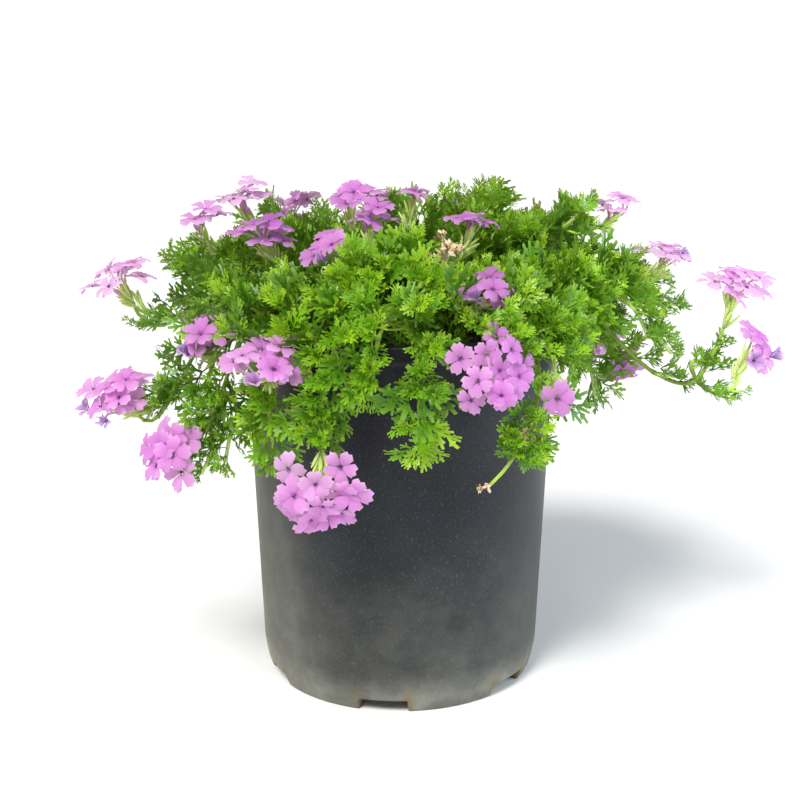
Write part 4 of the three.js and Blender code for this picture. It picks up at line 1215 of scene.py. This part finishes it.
def petal_shape():
    """One petal, flat, as radius and half width over a grid of rows from the throat to the tip and
    five columns across. It widens quickly, is widest at three quarters, and its tip is two round
    lobes with a notch between them."""
    v = PETAL_ROWS[:, None]
    u = np.linspace(-1, 1, PETAL_COLUMNS)[None, :]
    half = 4.1 * v ** 0.75 * (1.20 - 0.48 * v ** 4) + 0.6 * (1 - v)
    radius = THROAT + (FLORET_RADIUS - THROAT) * v + 0 * u
    radius[-1] += TIP_NOTCH
    return radius, half * u, v + 0 * u, u + 0 * v


def florets(centre, faces, spin, size, cup, tint, age, rng):
    """Five petals for each floret. A petal's height is a dip at the throat, a low arch and a
    turned-down tip, with a random ruffle. The cup angle folds all of it up about the throat. Old
    florets are crumpled: their petals lift and tilt more unevenly."""
    many = len(centre)
    each_petal = (many, PETALS, 1, 1)
    radius, across, v, u = petal_shape()
    shape = (many, PETALS, *radius.shape)
    stretch = rng.normal(1, STRETCH_VARIES, each_petal)
    ruffle = RUFFLE * np.sin(2.6 * u + rng.uniform(*ANY_PHASE, each_petal)) * v ** 2
    height = -1.2 * (1 - v) ** 3 + 0.8 * np.sin(np.pi * v) - 0.7 * v ** 2 - 0.35 * u ** 2 * v + ruffle
    crumpled = 1 + 3 * np.asarray(age)[:, None, None, None]
    lift = np.asarray(cup)[:, None, None, None] + rng.normal(0, LIFT_VARIES, each_petal) * crumpled
    lift = lift * np.minimum(1, 3 * v)
    reach = (radius - THROAT) * stretch
    r = THROAT + reach * np.cos(lift) - height * np.sin(lift)
    z = reach * np.sin(lift) + height * np.cos(lift)
    tilt = rng.normal(0, TILT_VARIES, each_petal) * crumpled
    side, z = across * np.cos(tilt), z + across * np.sin(tilt) * v
    angle = (np.asarray(spin)[:, None] + 2 * np.pi * np.arange(PETALS) / PETALS)[:, :, None, None]
    x = r * np.cos(angle) - side * np.sin(angle)
    y = r * np.sin(angle) + side * np.cos(angle)
    local = np.stack([x, y, np.broadcast_to(z, shape)], -1) * np.asarray(size).reshape(-1, 1, 1, 1, 1)
    right = unit(np.cross(faces, (0.31, 0.2, 0.93)))
    basis = np.stack([right, np.cross(faces, right), faces], 1)
    points = centre[:, None] + local.reshape(many, -1, 3) @ basis
    starts = (np.arange(PETALS * many) * radius.size)[:, None, None]
    quads = (grid_quads(*radius.shape) + starts)[..., ::-1]
    return Patch(points, quads, along=np.broadcast_to(v, shape).ravel(),
                 across=np.broadcast_to(u, shape).ravel(), tint=np.repeat(tint, points.shape[1]),
                 age=np.repeat(age, points.shape[1]), bare=0.0)


flat = florets(np.zeros((1, 3)), UP[None], [0], [1], [0], [0.5], [0], np.random.default_rng(1))
corners = flat.points[flat.quads]
upward = np.cross(corners[:, 2] - corners[:, 0], corners[:, 3] - corners[:, 1])[:, 2]
print("a floret:", len(flat.quads), "faces, facing up:", (upward > 0).mean())

# %% Tubes, sleeves and buds
TUBE_RADII = np.array([[0.5, 0.55, 0.62, THROAT]])
SLEEVE_RADII = np.array([[0.3, 0.7, 0.85, 0.72, 0.35]])
SLEEVE_LENGTH = 10.5
BUD_RADII = np.array([[0.4, 0.5, 0.6, 1.2, 1.3, 0.6]])
HAIRS_PER_SLEEVE = 12
HAIR_RADII = np.array([[0.1, 0.03]])
HAIR_LENGTH = 1.2
HAIR_OFF = 0.8


def shares(radii):
    """The share of a line's length at each of its radii, from 0 to 1."""
    return np.linspace(0, 1, radii.shape[1])


def bowed(start, end, towards, t):
    """Lines from start to end that leave start in the direction of towards: quadratic curves."""
    t = t[None, :, None]
    middle = start + unit(towards) * np.linalg.norm(end - start, axis=-1, keepdims=True) * 0.5
    return (1 - t) ** 2 * start[:, None] + 2 * t * (1 - t) * middle[:, None] + t ** 2 * end[:, None]


def straight(root, out, length, t):
    """Straight lines from their roots, each with its own direction and length."""
    return root[:, None] + out[:, None] * (t[None, :, None] * length[:, None, None])


def flower_tubes(start, ahead, centre, faces, tint, age):
    """The tube of each floret, from its sleeve's mouth to its throat."""
    t = shares(TUBE_RADII)
    return tubes(bowed(start, centre - faces * 1.1, ahead, t), TUBE_RADII, sides=5,
                 tint=tint[:, None], age=age[:, None], bare=1.0, along=t[None])


def sleeves(root, out, length, tint, finish=1):
    """Calyces: slender closed sleeves with pointed ends."""
    t = shares(SLEEVE_RADII)
    return tubes(straight(root, out, length, t), SLEEVE_RADII, sides=5, finish=finish,
                 tint=tint[:, None], tip=t[None])


def hairs(lines, rng):
    """Fine needles that stand off lines of shape (many, points, 3), at random places round them.
    Each starts a little off its line and leans towards the line's end."""
    which = np.repeat(np.arange(len(lines)), HAIRS_PER_SLEEVE)
    share = rng.uniform(0.05, 0.95, len(which)) * (lines.shape[1] - 1)
    step = share.astype(int)
    from_point, to_point = lines[which, step], lines[which, step + 1]
    ahead = unit(to_point - from_point)
    out = unit(np.cross(ahead, rng.normal(0, 1, ahead.shape)))
    start = from_point + (to_point - from_point) * (share - step)[:, None] + out * HAIR_OFF
    end = start + (out + ahead * 0.5) * HAIR_LENGTH * rng.uniform(0.6, 1.1, (len(which), 1))
    return tubes(np.stack([start, end], 1), HAIR_RADII, sides=3, finish=1, tint=1.0)


def buds(root, out, length):
    """Unopened flowers: a thin tube with a rounded knob."""
    return tubes(straight(root, out, length, shares(BUD_RADII)), BUD_RADII, sides=6,
                 tint=0.4, age=0.0, bare=0.2, along=0.6)


print("head parts ready")

# %% [markdown]
# ## Finishes of the plant
# Leaves are satin green sheets that glow where light comes through them. The colour runs from the
# deep green of old leaves to the yellow-green of young tips, read from `tint`, with paler fingers
# and undersides. A share of Translucent beside the Principled shader lets light through, which a
# thin sheet needs, because Subsurface is made for solids.

# %% Leaf finish
LEAF_GREENS = [(0.0, (0.018, 0.080, 0.001)), (0.45, (0.070, 0.245, 0.002)),
               (0.8, (0.172, 0.420, 0.003)), (1.0, (0.320, 0.550, 0.008))]
LEAF_SHADE = (0.60, 0.72, 0.50)
FINGERTIP = (0.40, 0.64, 0.07)
DRY_LEAF = (0.42, 0.30, 0.13)
UNDERSIDE = (0.20, 0.34, 0.08)
LIGHT_THROUGH_LEAF = (0.42, 0.66, 0.01)
GLOW_LEAF = 0.15


def add_glow(tree, share, colour):
    """Mixes a share of Translucent shader into a material, for a thin sheet."""
    surface = tree.nodes["Principled BSDF"].outputs["BSDF"]
    glow = node(tree, "ShaderNodeBsdfTranslucent", {"Color": colour})
    mixed = node(tree, "ShaderNodeMixShader", {0: share, 1: surface, 2: glow.outputs[0]})
    fill(tree, tree.nodes["Material Output"], {"Surface": mixed.outputs[0]})


leaf_finish, tree, shader = new_material("leaf_green")
point = object_point(tree)
green = ramp(tree, per_point(tree, "tint"), LEAF_GREENS)
uneven = soft_patches(tree, point, 110.0, 0.3, 0.7)
green = mix_colour(tree, varied(tree, uneven, 0.0, 0.35), green, LEAF_SHADE, "MULTIPLY")
fingertip = between(tree, per_point(tree, "tip"), 0.35, 1.0, 0.0, 0.34)
green = mix_colour(tree, fingertip, green, FINGERTIP)
green = mix_colour(tree, per_point(tree, "dry"), green, DRY_LEAF)
behind = node(tree, "ShaderNodeNewGeometry", {}).outputs["Backfacing"]
under = mix_colour(tree, math(tree, "MULTIPLY", behind, 0.35), green, UNDERSIDE)
fill(tree, shader, {"Base Color": under, "Roughness": varied(tree, uneven, 0.28, 0.44),
                    "Specular IOR Level": 0.4})
roughen(tree, shader, point, size=900.0, coarse_share=1.0, strength=0.35, distance=0.0006)
add_glow(tree, GLOW_LEAF, mix_colour(tree, 0.4, green, LIGHT_THROUGH_LEAF))
print("leaf finish")

# %% Stem and sleeve finish
# The stops at 0.8 and 1.0, a lime near white, are lighter than the calyces' own green: painted light, for
# the bright light that they catch in the shade under the heads.
STEM_GREENS_AND_PAINTED_LIGHT = [(0.0, (0.14, 0.09, 0.040)), (0.25, (0.17, 0.22, 0.030)), (0.6, (0.28, 0.42, 0.035)),
               (0.8, (0.66, 0.90, 0.17)), (1.0, (0.90, 0.99, 0.46))]
STEM_SHADE = (0.90, 0.96, 0.72)
FLUSHED = (0.42, 0.25, 0.30)
GLOW_STEM = 0.35

stem_finish, tree, shader = new_material("stem_green")
point = object_point(tree)
green = ramp(tree, per_point(tree, "tint"), STEM_GREENS_AND_PAINTED_LIGHT)
uneven = varied(tree, soft_patches(tree, point, 160.0, 0.35, 0.7), 0.0, 0.3)
green = mix_colour(tree, uneven, green, STEM_SHADE, "MULTIPLY")
flushed = between(tree, per_point(tree, "tip"), 0.9, 1.0, 0.0, 0.08)
green = mix_colour(tree, flushed, green, FLUSHED)
fill(tree, shader, {"Base Color": green, "Roughness": 0.55})
roughen(tree, shader, point, size=1300.0, coarse_share=0.6, strength=0.45, distance=0.0004)
add_glow(tree, GLOW_STEM, green)
print("stem finish")

# %% [markdown]
# Petals are velvety and orchid pink, deeper towards the violet throat, paler at the edges, with
# faint rays. Old florets turn violet with pale edges. The colour follows the petal, so it reads
# `along` and `across`, which every petal carries from its own grid.

# %% Petal finish
FRESH_PINKS = [(0.0, (0.36, 0.06, 0.42)), (0.05, (0.62, 0.17, 0.62)), (0.16, (0.79, 0.28, 0.76)),
               (0.7, (0.87, 0.37, 0.84)), (1.0, (0.92, 0.52, 0.91))]
OLD_VIOLETS = [(0.0, (0.09, 0.02, 0.20)), (0.5, (0.30, 0.13, 0.50)), (0.9, (0.56, 0.43, 0.72)),
               (1.0, (0.78, 0.70, 0.86))]
# The last stop, dark violet, colours the point that closes each tube in the throat: painted shade for the
# depth of the open tube.
TUBE_COLOURS_AND_THROAT_SHADE = [(0.0, (0.74, 0.74, 0.50)), (0.5, (0.86, 0.72, 0.80)), (0.92, (0.78, 0.50, 0.78)),
                (1.0, (0.16, 0.02, 0.22))]
DEEPER = (0.72, 0.50, 0.80)
PALER = (0.93, 0.70, 0.93)
RAY = (0.90, 0.70, 0.92)
LIGHT_THROUGH_PETAL = (0.97, 0.93, 0.90)
GLOW_PETAL = 0.42

petal_finish, tree, shader = new_material("petal_pink")
point = object_point(tree)
along, across, tint = (per_point(tree, name) for name in ("along", "across", "tint"))
# A low tint deepens the pink with DEEPER and a high one pales it with PALER: mostly the heads' own colour,
# but painted shade for right_low under the leaves and painted light for the palest heads at the back.
deep = mix_colour(tree, between(tree, tint, 0.45, 0.0), ramp(tree, along, FRESH_PINKS), DEEPER, "MULTIPLY")
pale = mix_colour(tree, between(tree, tint, 0.5, 1.0, 0.0, 0.6), deep, PALER)
pink = mix_colour(tree, per_point(tree, "age"), pale, ramp(tree, along, OLD_VIOLETS))
ray_point = node(tree, "ShaderNodeCombineXYZ", {"X": math(tree, "MULTIPLY", across, 4.0),
                                                "Y": along, "Z": math(tree, "MULTIPLY", tint, 9.0)})
rays = node(tree, "ShaderNodeTexNoise", {"Vector": ray_point.outputs[0], "Scale": 1.6, "Detail": 2.0})
faint = between(tree, rays.outputs["Fac"], 0.4, 0.7, 0.0, 0.35)
pink = mix_colour(tree, faint, pink, RAY, "MULTIPLY")
pink = mix_colour(tree, per_point(tree, "bare"), pink, ramp(tree, along, TUBE_COLOURS_AND_THROAT_SHADE))
fill(tree, shader, {"Base Color": pink, "Roughness": 0.62, "Specular IOR Level": 0.3})
roughen(tree, shader, point, size=1500.0, coarse_share=1.2, strength=0.25, distance=0.0004)
add_glow(tree, GLOW_PETAL, mix_colour(tree, 0.5, pink, LIGHT_THROUGH_PETAL))
print("petal finish")

# %% Withered finish
TANS = (0.62, 0.44, 0.25), (0.86, 0.70, 0.48)
BLEACHED_TIP = (0.88, 0.76, 0.56)

dry_finish, tree, shader = new_material("withered_tan")
point = object_point(tree)
tan = mix_colour(tree, soft_patches(tree, point, 260.0, 0.35, 0.65), *TANS)
bleached = between(tree, per_point(tree, "tip"), 0.2, 1.0, 0.0, 0.5)
fill(tree, shader, {"Base Color": mix_colour(tree, bleached, tan, BLEACHED_TIP), "Roughness": 0.85})
roughen(tree, shader, point, size=1200.0, coarse_share=1.5, strength=0.6, distance=0.0005)
print("withered finish")

# %% [markdown]
# ## The sprays
# Each spray is grown in the same order as the plant grows it: the rooted stem, its side shoots,
# pairs of leaves along them, short shoots from the axils, and the heads.

# %% Lines of a spray
TIP_RADIUS = 0.85
RING_STEP = 3.0
SWELLING = 0.3
SWELLING_REACH = 1.6
# Leafy shoots: which point of the spray's path they start near, and their own points.
MORE_SHOOTS = {
    "left_lowest": [(2, [(-80, -63, 160), (-84, -62, 146), (-87, -60, 132)]), (3, [(-93, -66, 152),
        (-93, -64, 139), (-99, -62, 126)])],
    "front_left_upper": [(2, [(-63, -80, 167), (-63, -78, 153), (-60, -78, 141)])],
    "left_front": [(2, [(-98, -49, 168), (-112, -48, 161)])],
    "right_low": [(1, [(95, 4, 183), (100, 0, 167), (103, -2, 150)]), (1, [(87, -8, 186),
        (90, -11, 168)]), (0, [(72, -10, 209), (86, -24, 206), (96, -32, 196)]), (0, [(62, -8, 205),
        (50, -18, 210)])],
    "front_right_low": [(1, [(75, -66, 200), (81, -66, 186)])],
    "front_right": [(0, [(42, -52, 214), (54, -44, 218)])],
    "right_upper": [(1, [(111, 8, 207), (125, 6, 202)]), (0, [(70, 14, 222)])],
    "right_trailing": [(2, [(129, -20, 187), (139, -22, 178)]), (4, [(150, -18, 172), (160, -18, 172)]),
        (0, [(62, -28, 206), (58, -42, 214)])],
    "mound_right": [(0, [(50, 16, 210), (62, 18, 222)])],
    "centre_right": [(0, [(32, -14, 206), (44, -24, 212)])],
    "back": [(0, [(-14, 84, 209), (-24, 94, 198), (-27, 100, 180)]), (0, [(14, 88, 209),
        (22, 99, 196)])],
    "back_left": [(0, [(-40, 80, 207), (-44, 93, 194)])],
    "back_right": [(0, [(36, 84, 208), (40, 97, 192)])],
    "left_back_low": [(0, [(-84, 32, 207), (-98, 28, 193), (-104, 30, 176)]), (1, [(-82, 66, 192),
        (-85, 71, 176)])],
    "right_back_low": [(0, [(84, 38, 209), (99, 36, 197), (104, 38, 182)])],
}


def line_name(spray_name, k):
    """The name of a spray's line: its own for the rooted one, with a number for the others."""
    return spray_name + (f"_{k}" if k else "")


def spray_lines(name, spray):
    """The rooted line of a spray and then its side lines, each with its head, or None. The leafy
    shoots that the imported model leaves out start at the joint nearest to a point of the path."""
    main = rooted_line(spray["root"], spray["path"])
    shoots = [(side["at"], side["path"], side.get("head")) for side in spray.get("side", [])]
    shoots += [(at, path, None) for at, path in MORE_SHOOTS.get(name, [])]
    return [(main, spray.get("head"))] + [(side_line(main, spray["path"][at], path), head)
                                          for at, path, head in shoots]


def head_frame(line):
    """The middle of a head on a line's tip, and the direction of the stem's last stretch."""
    before, tip = joints(line)[-2:]
    stemward = unit(tip - before)
    return tip + stemward * MIDDLE_PAST_TIP, stemward


def stem_tube(line, nodes, tint, radius):
    """A stem with a ring every 3 mm, thinner towards its tip and swollen where leaves leave it."""
    total = lengths_along(line)[-1]
    s = np.linspace(0, total, max(4, round(total / RING_STEP)) + 1)
    swell = np.exp(-((s[:, None] - nodes[None, :]) / SWELLING_REACH) ** 2).sum(1)
    radii = (radius + (TIP_RADIUS - radius) * s / total) * (1 + SWELLING * np.minimum(swell, 1))
    age = np.clip(tint + 0.5 * s / total, 0, 1)
    return tubes(at_lengths(line, s)[None], radii[None], sides=7, finish=1, tint=age[None])


heads_at = {}
for spray_name, spray in SPRAYS.items():
    for k, (line, head) in enumerate(spray_lines(spray_name, spray)):
        if head:
            heads_at[line_name(spray_name, k)] = (*head_frame(line), head)
print(len(heads_at), "heads")
for key, (middle, _, _) in heads_at.items():
    print(key, middle.round().astype(int).tolist())

# %% Florets of a head
FLORETS_SHOWN = {1: 2, 2: 3, 3: 5, 4: 7, 5: 9, 6: 11}
SMALLEST_REACH = 9.5
FURTHER_OUT = 1.6
FLATTENED = 0.25
UPRIGHT_FLATTENED = 0.35
UPRIGHT_WIDER = 0.12
OUT_VARIES = 0.08
FACES_VARY = 0.23
# Where the heads in the photograph differ from the rule: in width, in the number and the size of
# their florets, in the share that is spent, and in tint. The palest tints, of left_back, right_upper
# and right_back at the top and back, are painted light for the strong light behind them, and
# right_low's tint of 0 is painted shade, for its place under the leaves.
WIDE_HEADS = {"left_low": 1.22, "front_left": 1.25, "left_mound": 1.25, "left_front": 1.3,
              "front_right": 1.1, "right_upper": 1.2,
              "left_back_1": 1.15, "front_left_upper": 1.2, "left": 1.1, "right_trailing": 1.1}
EXTRA_FLORETS = {"front_left": 4, "left_mound": 2, "left_low": 2, "left_front": 1, "front_left_upper": 1,
                 "front_right": 1, "centre_right": -1, "front_right_low_1": -1, "front_centre": -2,
                 "left": -1, "left_back_1": -1, "left_back": -1, "right_back": -1}
FLORET_SIZES = {"front_right": 0.86, "left_low": 0.93, "left": 0.92, "left_mound": 0.95, "right_back": 0.92}
SPENT_SIZE = 0.74
SPENT_AGE, FRESH_AGE = (0.6, 1), (0, 0.08)
SPENT_CUP, FRESH_CUP = (0.7, 1.2), (0.02, 0.08)
USUAL_SPENT = 0.02
USUAL_TINT = 0.4
SPENT_HEADS = {"centre_1": 0.25, "front_left_upper": 0.2, "left_low": 0.15, "right_trailing_1": 0.3}
HEAD_TINTS_AND_PAINTED_LIGHT = {"left": 0.75, "left_back_1": 0.65, "left_back": 1.0, "right_back": 0.9,
              "right_upper": 0.95, "right_trailing": 0.7, "left_mound": 0.25, "centre": 0.2,
              "front_right": 0.35, "front_centre": 0.2, "right_low": 0.0, "front_left": 0.55,
              "left_front": 0.35, "centre_right": 0.3}


def place_florets(name, middle, axis, count, rng):
    """The way out to each floret of a head, the centre of each and the way that it faces. Heads
    that stand upright are flatter and wider, and their florets face more nearly the same way."""
    extra = FLORETS_SHOWN[count] - count + EXTRA_FLORETS.get(name, 0)
    out = floret_directions(count, axis, extra, rng)
    upright = max(0, axis[2])
    out = unit(out + axis * (FLATTENED + UPRIGHT_FLATTENED * upright) + rng.normal(0, OUT_VARIES, out.shape))
    many = len(out)
    reach = SMALLEST_REACH + count
    length = np.where(np.arange(many) < count, reach, reach + FURTHER_OUT)
    length = length + rng.normal(0.6, 1.6 + upright, many)
    offset = out * length[:, None]
    ahead_part = (offset @ axis)[:, None] * axis
    widened = WIDE_HEADS.get(name, 1.0) + UPRIGHT_WIDER * upright
    centre = middle + ahead_part + (offset - ahead_part) * widened
    faces = unit(out * 0.5 + axis * (0.5 + 0.5 * upright) + UP * 0.25 * upright
                 + rng.normal(0, FACES_VARY, out.shape))
    return out, centre, faces


def floret_state(name, out, rng):
    """The spin, size, cup angle, tint and age of each floret. The lowest ones are spent first:
    they are smaller, fold up and turn violet."""
    many = len(out)
    lowness = (-out[:, 2]).argsort().argsort() / many + rng.uniform(0, 0.4, many)
    spent = lowness > 1.2 - 1.2 * SPENT_HEADS.get(name, USUAL_SPENT)
    age = np.where(spent, rng.uniform(*SPENT_AGE, many), rng.uniform(*FRESH_AGE, many))
    cup = np.where(spent, rng.uniform(*SPENT_CUP, many), rng.normal(*FRESH_CUP, many))
    size = np.where(spent, SPENT_SIZE, 1.0) * rng.normal(1.03, 0.05, many) * FLORET_SIZES.get(name, 1.0)
    tint = np.clip(HEAD_TINTS_AND_PAINTED_LIGHT.get(name, USUAL_TINT) + rng.normal(0, 0.1, many), 0, 1)
    return rng.uniform(0, 2 * np.pi, many), size, cup, tint, age


print("heads show", FLORETS_SHOWN, "florets, before their own differences")

# %% Make the heads
MOUTH_INSIDE = 1.2
ROOT_BACK = (1, 4)
BUD_OUT = 1.5
BUD_LENGTH = (7, 10)
EMPTY_SLEEVES = 9
ASIDE = (0.3, 0.75)
DOWN_SPIKE = (2, 15)
SLEEVE_VARIES = (0.85, 1.1)
LIME_TINT = (0.86, 1.0)


def make_head(name, middle, stemward, head, rng):
    """The petal patches of one head, with its tubes and buds, and its sleeves with their hairs:
    one sleeve for each floret, and some empty ones lower on the spike."""
    axis = head_axis(stemward, head["faces"])
    out, centre, faces = place_florets(name, middle, axis, head["florets"], rng)
    spin, size, cup, tint, age = floret_state(name, out, rng)
    ahead = unit(out * 0.6 + stemward * 0.8)
    root = middle - stemward * rng.uniform(*ROOT_BACK, len(out))[:, None] + out * 0.7
    mouth = root + ahead * (SLEEVE_LENGTH - MOUTH_INSIDE)
    petals = [florets(centre, faces, spin, size, cup, tint, age, rng),
              flower_tubes(mouth, ahead, centre, faces, tint, age)]
    young = rng.integers(1, 4)
    lean = unit(axis + rng.normal(0, 0.35, (young, 3)))
    petals.append(buds(middle + lean * BUD_OUT, lean, rng.uniform(*BUD_LENGTH, young)))
    empty = len(out) + EMPTY_SLEEVES
    around = unit(np.cross(stemward, rng.normal(0, 1, (empty, 3))))
    aside = unit(around * rng.uniform(*ASIDE, (empty, 1)) + stemward)
    low = middle - stemward * rng.uniform(*DOWN_SPIKE, (empty, 1)) + around * 0.5
    root, ahead = np.concatenate([root, low]), np.concatenate([ahead, aside])
    length = rng.uniform(*SLEEVE_VARIES, len(root)) * SLEEVE_LENGTH
    lime = rng.uniform(*LIME_TINT, len(root))
    fuzz = hairs(np.stack([root, root + ahead * length[:, None]], 1), rng)
    return petals, [sleeves(root, ahead, length, lime), fuzz]


print("a head has two sleeves for each floret and", EMPTY_SLEEVES, "more")

# %% [markdown]
# Two heads are over: one by the middle of the plant, and one at the tip of a low stem in front.
# They keep their dry tan sleeves, and a few shrivelled petals.

# %% Withered heads
DRY_HEADS = {"front_right_low": {"sleeves": 4, "shrivelled": 1, "scale": 0.5, "bare": 20},
             "centre_right_1": {"sleeves": 15, "shrivelled": 6, "scale": 1.0, "bare": 12}}
DRY_LEAN = (0.25, 1.5)
DRY_LENGTH = (6, 9)
SLEEVE_TURN = 2.4
SHRIVELLED_SIZE = 0.62
SHRIVELLED_OUT = 8.5
SHRIVELLED_CUP = (1.0, 1.35)
CRUMPLE = 0.35


def make_withered(name, middle, stemward, rng):
    """A head that is over: dry sleeves that lean out all round, and shrivelled petals in some."""
    many, few, scale = (DRY_HEADS[name][key] for key in ("sleeves", "shrivelled", "scale"))
    lean = rng.uniform(*DRY_LEAN, many)
    side = unit(np.cross(stemward, (0.3, 0.2, 1.0)))
    out = np.array([turned(turned(stemward, side, a), stemward, SLEEVE_TURN * i)
                    for i, a in enumerate(lean)])
    root = middle - stemward * rng.uniform(0, 7, many)[:, None] * scale
    length, tint = rng.uniform(*DRY_LENGTH, many) * scale, rng.uniform(0, 1, many)
    end = root[:few] + out[:few] * SHRIVELLED_OUT * scale
    crumpled = florets(end, out[:few], rng.uniform(0, 6, few), np.full(few, SHRIVELLED_SIZE * scale),
                       rng.uniform(*SHRIVELLED_CUP, few), np.full(few, 0.5), np.ones(few), rng)
    crumpled.points += rng.normal(0, CRUMPLE, crumpled.points.shape)
    return [sleeves(root, out, length, tint, finish=0), crumpled]


print(len(DRY_HEADS), "withered heads")

# %% [markdown]
# Leaves keep clear of the florets, since a plant holds its heads up to the light. They also stay
# out of small balls, the zones, which lie between the eye and some of the heads, and in the gaps
# that the photograph shows. A test of distances is enough, so no mesh has to be cut.

# %% Zones without leaves
WINDOWS = [((-3, -82, 197), 9), ((-19, -86, 169), 6), ((148, -6, 205), 14)]
WINDOW_STEPS = (0, 12, 24, 36)
CLEAR_VIEW = ("front_right_low_1", "front_centre", "left_front", "front_left_upper", "front_right",
              "centre_2", "centre_1", "centre_right", "centre_right_1", "left_mound")
CLEAR_STEPS = (8, 18, 28)
SLEEVES_IN_VIEW = ("right_upper", "right_back", "right_trailing")
SLEEVE_STEPS = (6, 14, 24)
ROOM_UNDER_FLORETS = 7.0
BELOW_HEAD = ((7, 8), (14, 6))        # distance down the stem and radius
HEAD_ROOM = 14
CLEAR_ROOM = 12
SHOOT_ROOM_SHARE = 0.55


def towards_eye(spot, steps, radius):
    """Zones (centre, radius) at some distances from a spot towards the eye, to keep it in view."""
    sight = unit(np.array(EYE) - spot)
    return [(spot + sight * step, radius) for step in steps]


def clear_pairs(pairs, zones):
    """The leaf pairs of many lines as one set, less the leaves that are within a zone at any of
    four places along their blades."""
    joined = {key: np.concatenate([p[key] for p in pairs]) for key in pairs[0]}
    along = unit(joined["out"] + skyward(joined["root"]) * 0.5)
    keep = np.ones(len(along), bool)
    for share in (0.15, 0.4, 0.7, 1.0):
        at = joined["root"] + along * (joined["length"] * share)[:, None]
        for centre, radius in zones:
            keep &= np.linalg.norm(at - centre, axis=1) > radius
    return {key: value[keep] for key, value in joined.items()}


def shoot_is_clear(line, zones):
    """Whether a shoot stays outside the inner part of every zone."""
    return all(np.linalg.norm(line - centre, axis=1).min() > radius * SHOOT_ROOM_SHARE
               for centre, radius in zones)


zones = []
for window, radius in WINDOWS:
    zones += towards_eye(np.array(window), WINDOW_STEPS, radius)
for key, (middle, stemward, head) in heads_at.items():
    if "florets" in head:
        axis = head_axis(stemward, head["faces"])
        reach = SMALLEST_REACH + head["florets"]
        room = ROOM_UNDER_FLORETS + head["florets"]
        zones += [(middle + axis * 0.6 * reach, room), (middle + axis * 1.3 * reach, room)]
        zones += [(middle - stemward * down, radius) for down, radius in BELOW_HEAD]
        if key in SLEEVES_IN_VIEW:
            zones += towards_eye(middle, SLEEVE_STEPS, CLEAR_ROOM)
        front = middle + axis * reach * 0.7
    else:
        zones.append((middle, HEAD_ROOM))
        front = middle
    if key in CLEAR_VIEW:
        zones += towards_eye(front, CLEAR_STEPS, CLEAR_ROOM)
print(len(zones), "zones without leaves")

# %% [markdown]
# Now the sprays are grown. The stems and leaves of each become one piece, and each head another,
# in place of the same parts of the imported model. Each spray has its own random numbers, so that
# a change to one doesn't move the leaves of the others.

# %% Grow the sprays
LEAF_LENGTH = 27
SHOOT_SHARE = 0.85
SHOOT_LEAF = 0.74
# The share of axils that bear a shoot, and the leaf length, of sprays with fewer and smaller leaves.
SPARSE = {"right_trailing": (0.35, 17.5), "left": (0.5, 22), "left_low": (0.45, 21),
          "left_lowest": (0.8, 24), "left_front": (0.6, 23)}
BARE_UNDER_HEAD = 16
ROOTED_STEM = (7 + STEM_SUNK, 0.25, 1.3)        # bare length at its root, tint and radius
SIDE_STEM = (4, 0.5, 1.05)
SHOOT_RADII = np.linspace(0.8, 0.45, 6)[None]
FIRST_SEED = 100

total_leaves = 0
for number, (spray_name, spray) in enumerate(SPRAYS.items()):
    rng = np.random.default_rng(FIRST_SEED + number)
    share, leaf_length = SPARSE.get(spray_name, (SHOOT_SHARE, LEAF_LENGTH))
    patches, pairs, shoots = [], [], []
    for k, (line, head) in enumerate(spray_lines(spray_name, spray)):
        name = line_name(spray_name, k)
        bare_tip = DRY_HEADS[name]["bare"] if name in DRY_HEADS else BARE_UNDER_HEAD if head else 0
        bare_root, tint, radius = SIDE_STEM if k else ROOTED_STEM
        own = leaf_pairs(line, bare_root, bare_tip, leaf_length, rng)
        pairs.append(own)
        nearest = np.argmin(np.linalg.norm(line[:, None] - own["root"][None], axis=2), axis=0)
        patches.append(stem_tube(line, np.unique(lengths_along(line)[nearest]), tint, radius))
        shoots += [shoot for shoot in axil_shoots(own, share, rng) if shoot_is_clear(shoot, zones)]
        if name in DRY_HEADS:
            middle, stemward, _ = heads_at[name]
            add_piece("dry_head_" + name, make_withered(name, middle, stemward, rng), [dry_finish],
                      ["withered_" + name])
        elif head:
            petals, calyces = make_head(name, *heads_at[name], rng)
            patches += calyces
            add_piece("florets_" + name, petals, [petal_finish], ["head_" + name])
    if shoots:
        lines = np.array([evenly(line, SHOOT_RADII.shape[1] - 1) for line in shoots])
        patches.append(tubes(lines, SHOOT_RADII, sides=5, finish=1, tint=0.8))
        pairs += [leaf_pairs(line, 1.0, 0, leaf_length * SHOOT_LEAF, rng) for line in shoots]
    kept = clear_pairs(pairs, zones)
    patches.append(blades(kept, rng))
    total_leaves += len(kept["root"])
    add_piece("foliage_" + spray_name, patches, [leaf_finish, stem_finish],
              ["spray_" + spray_name])
print(total_leaves, "leaves in", len(SPRAYS), "sprays")
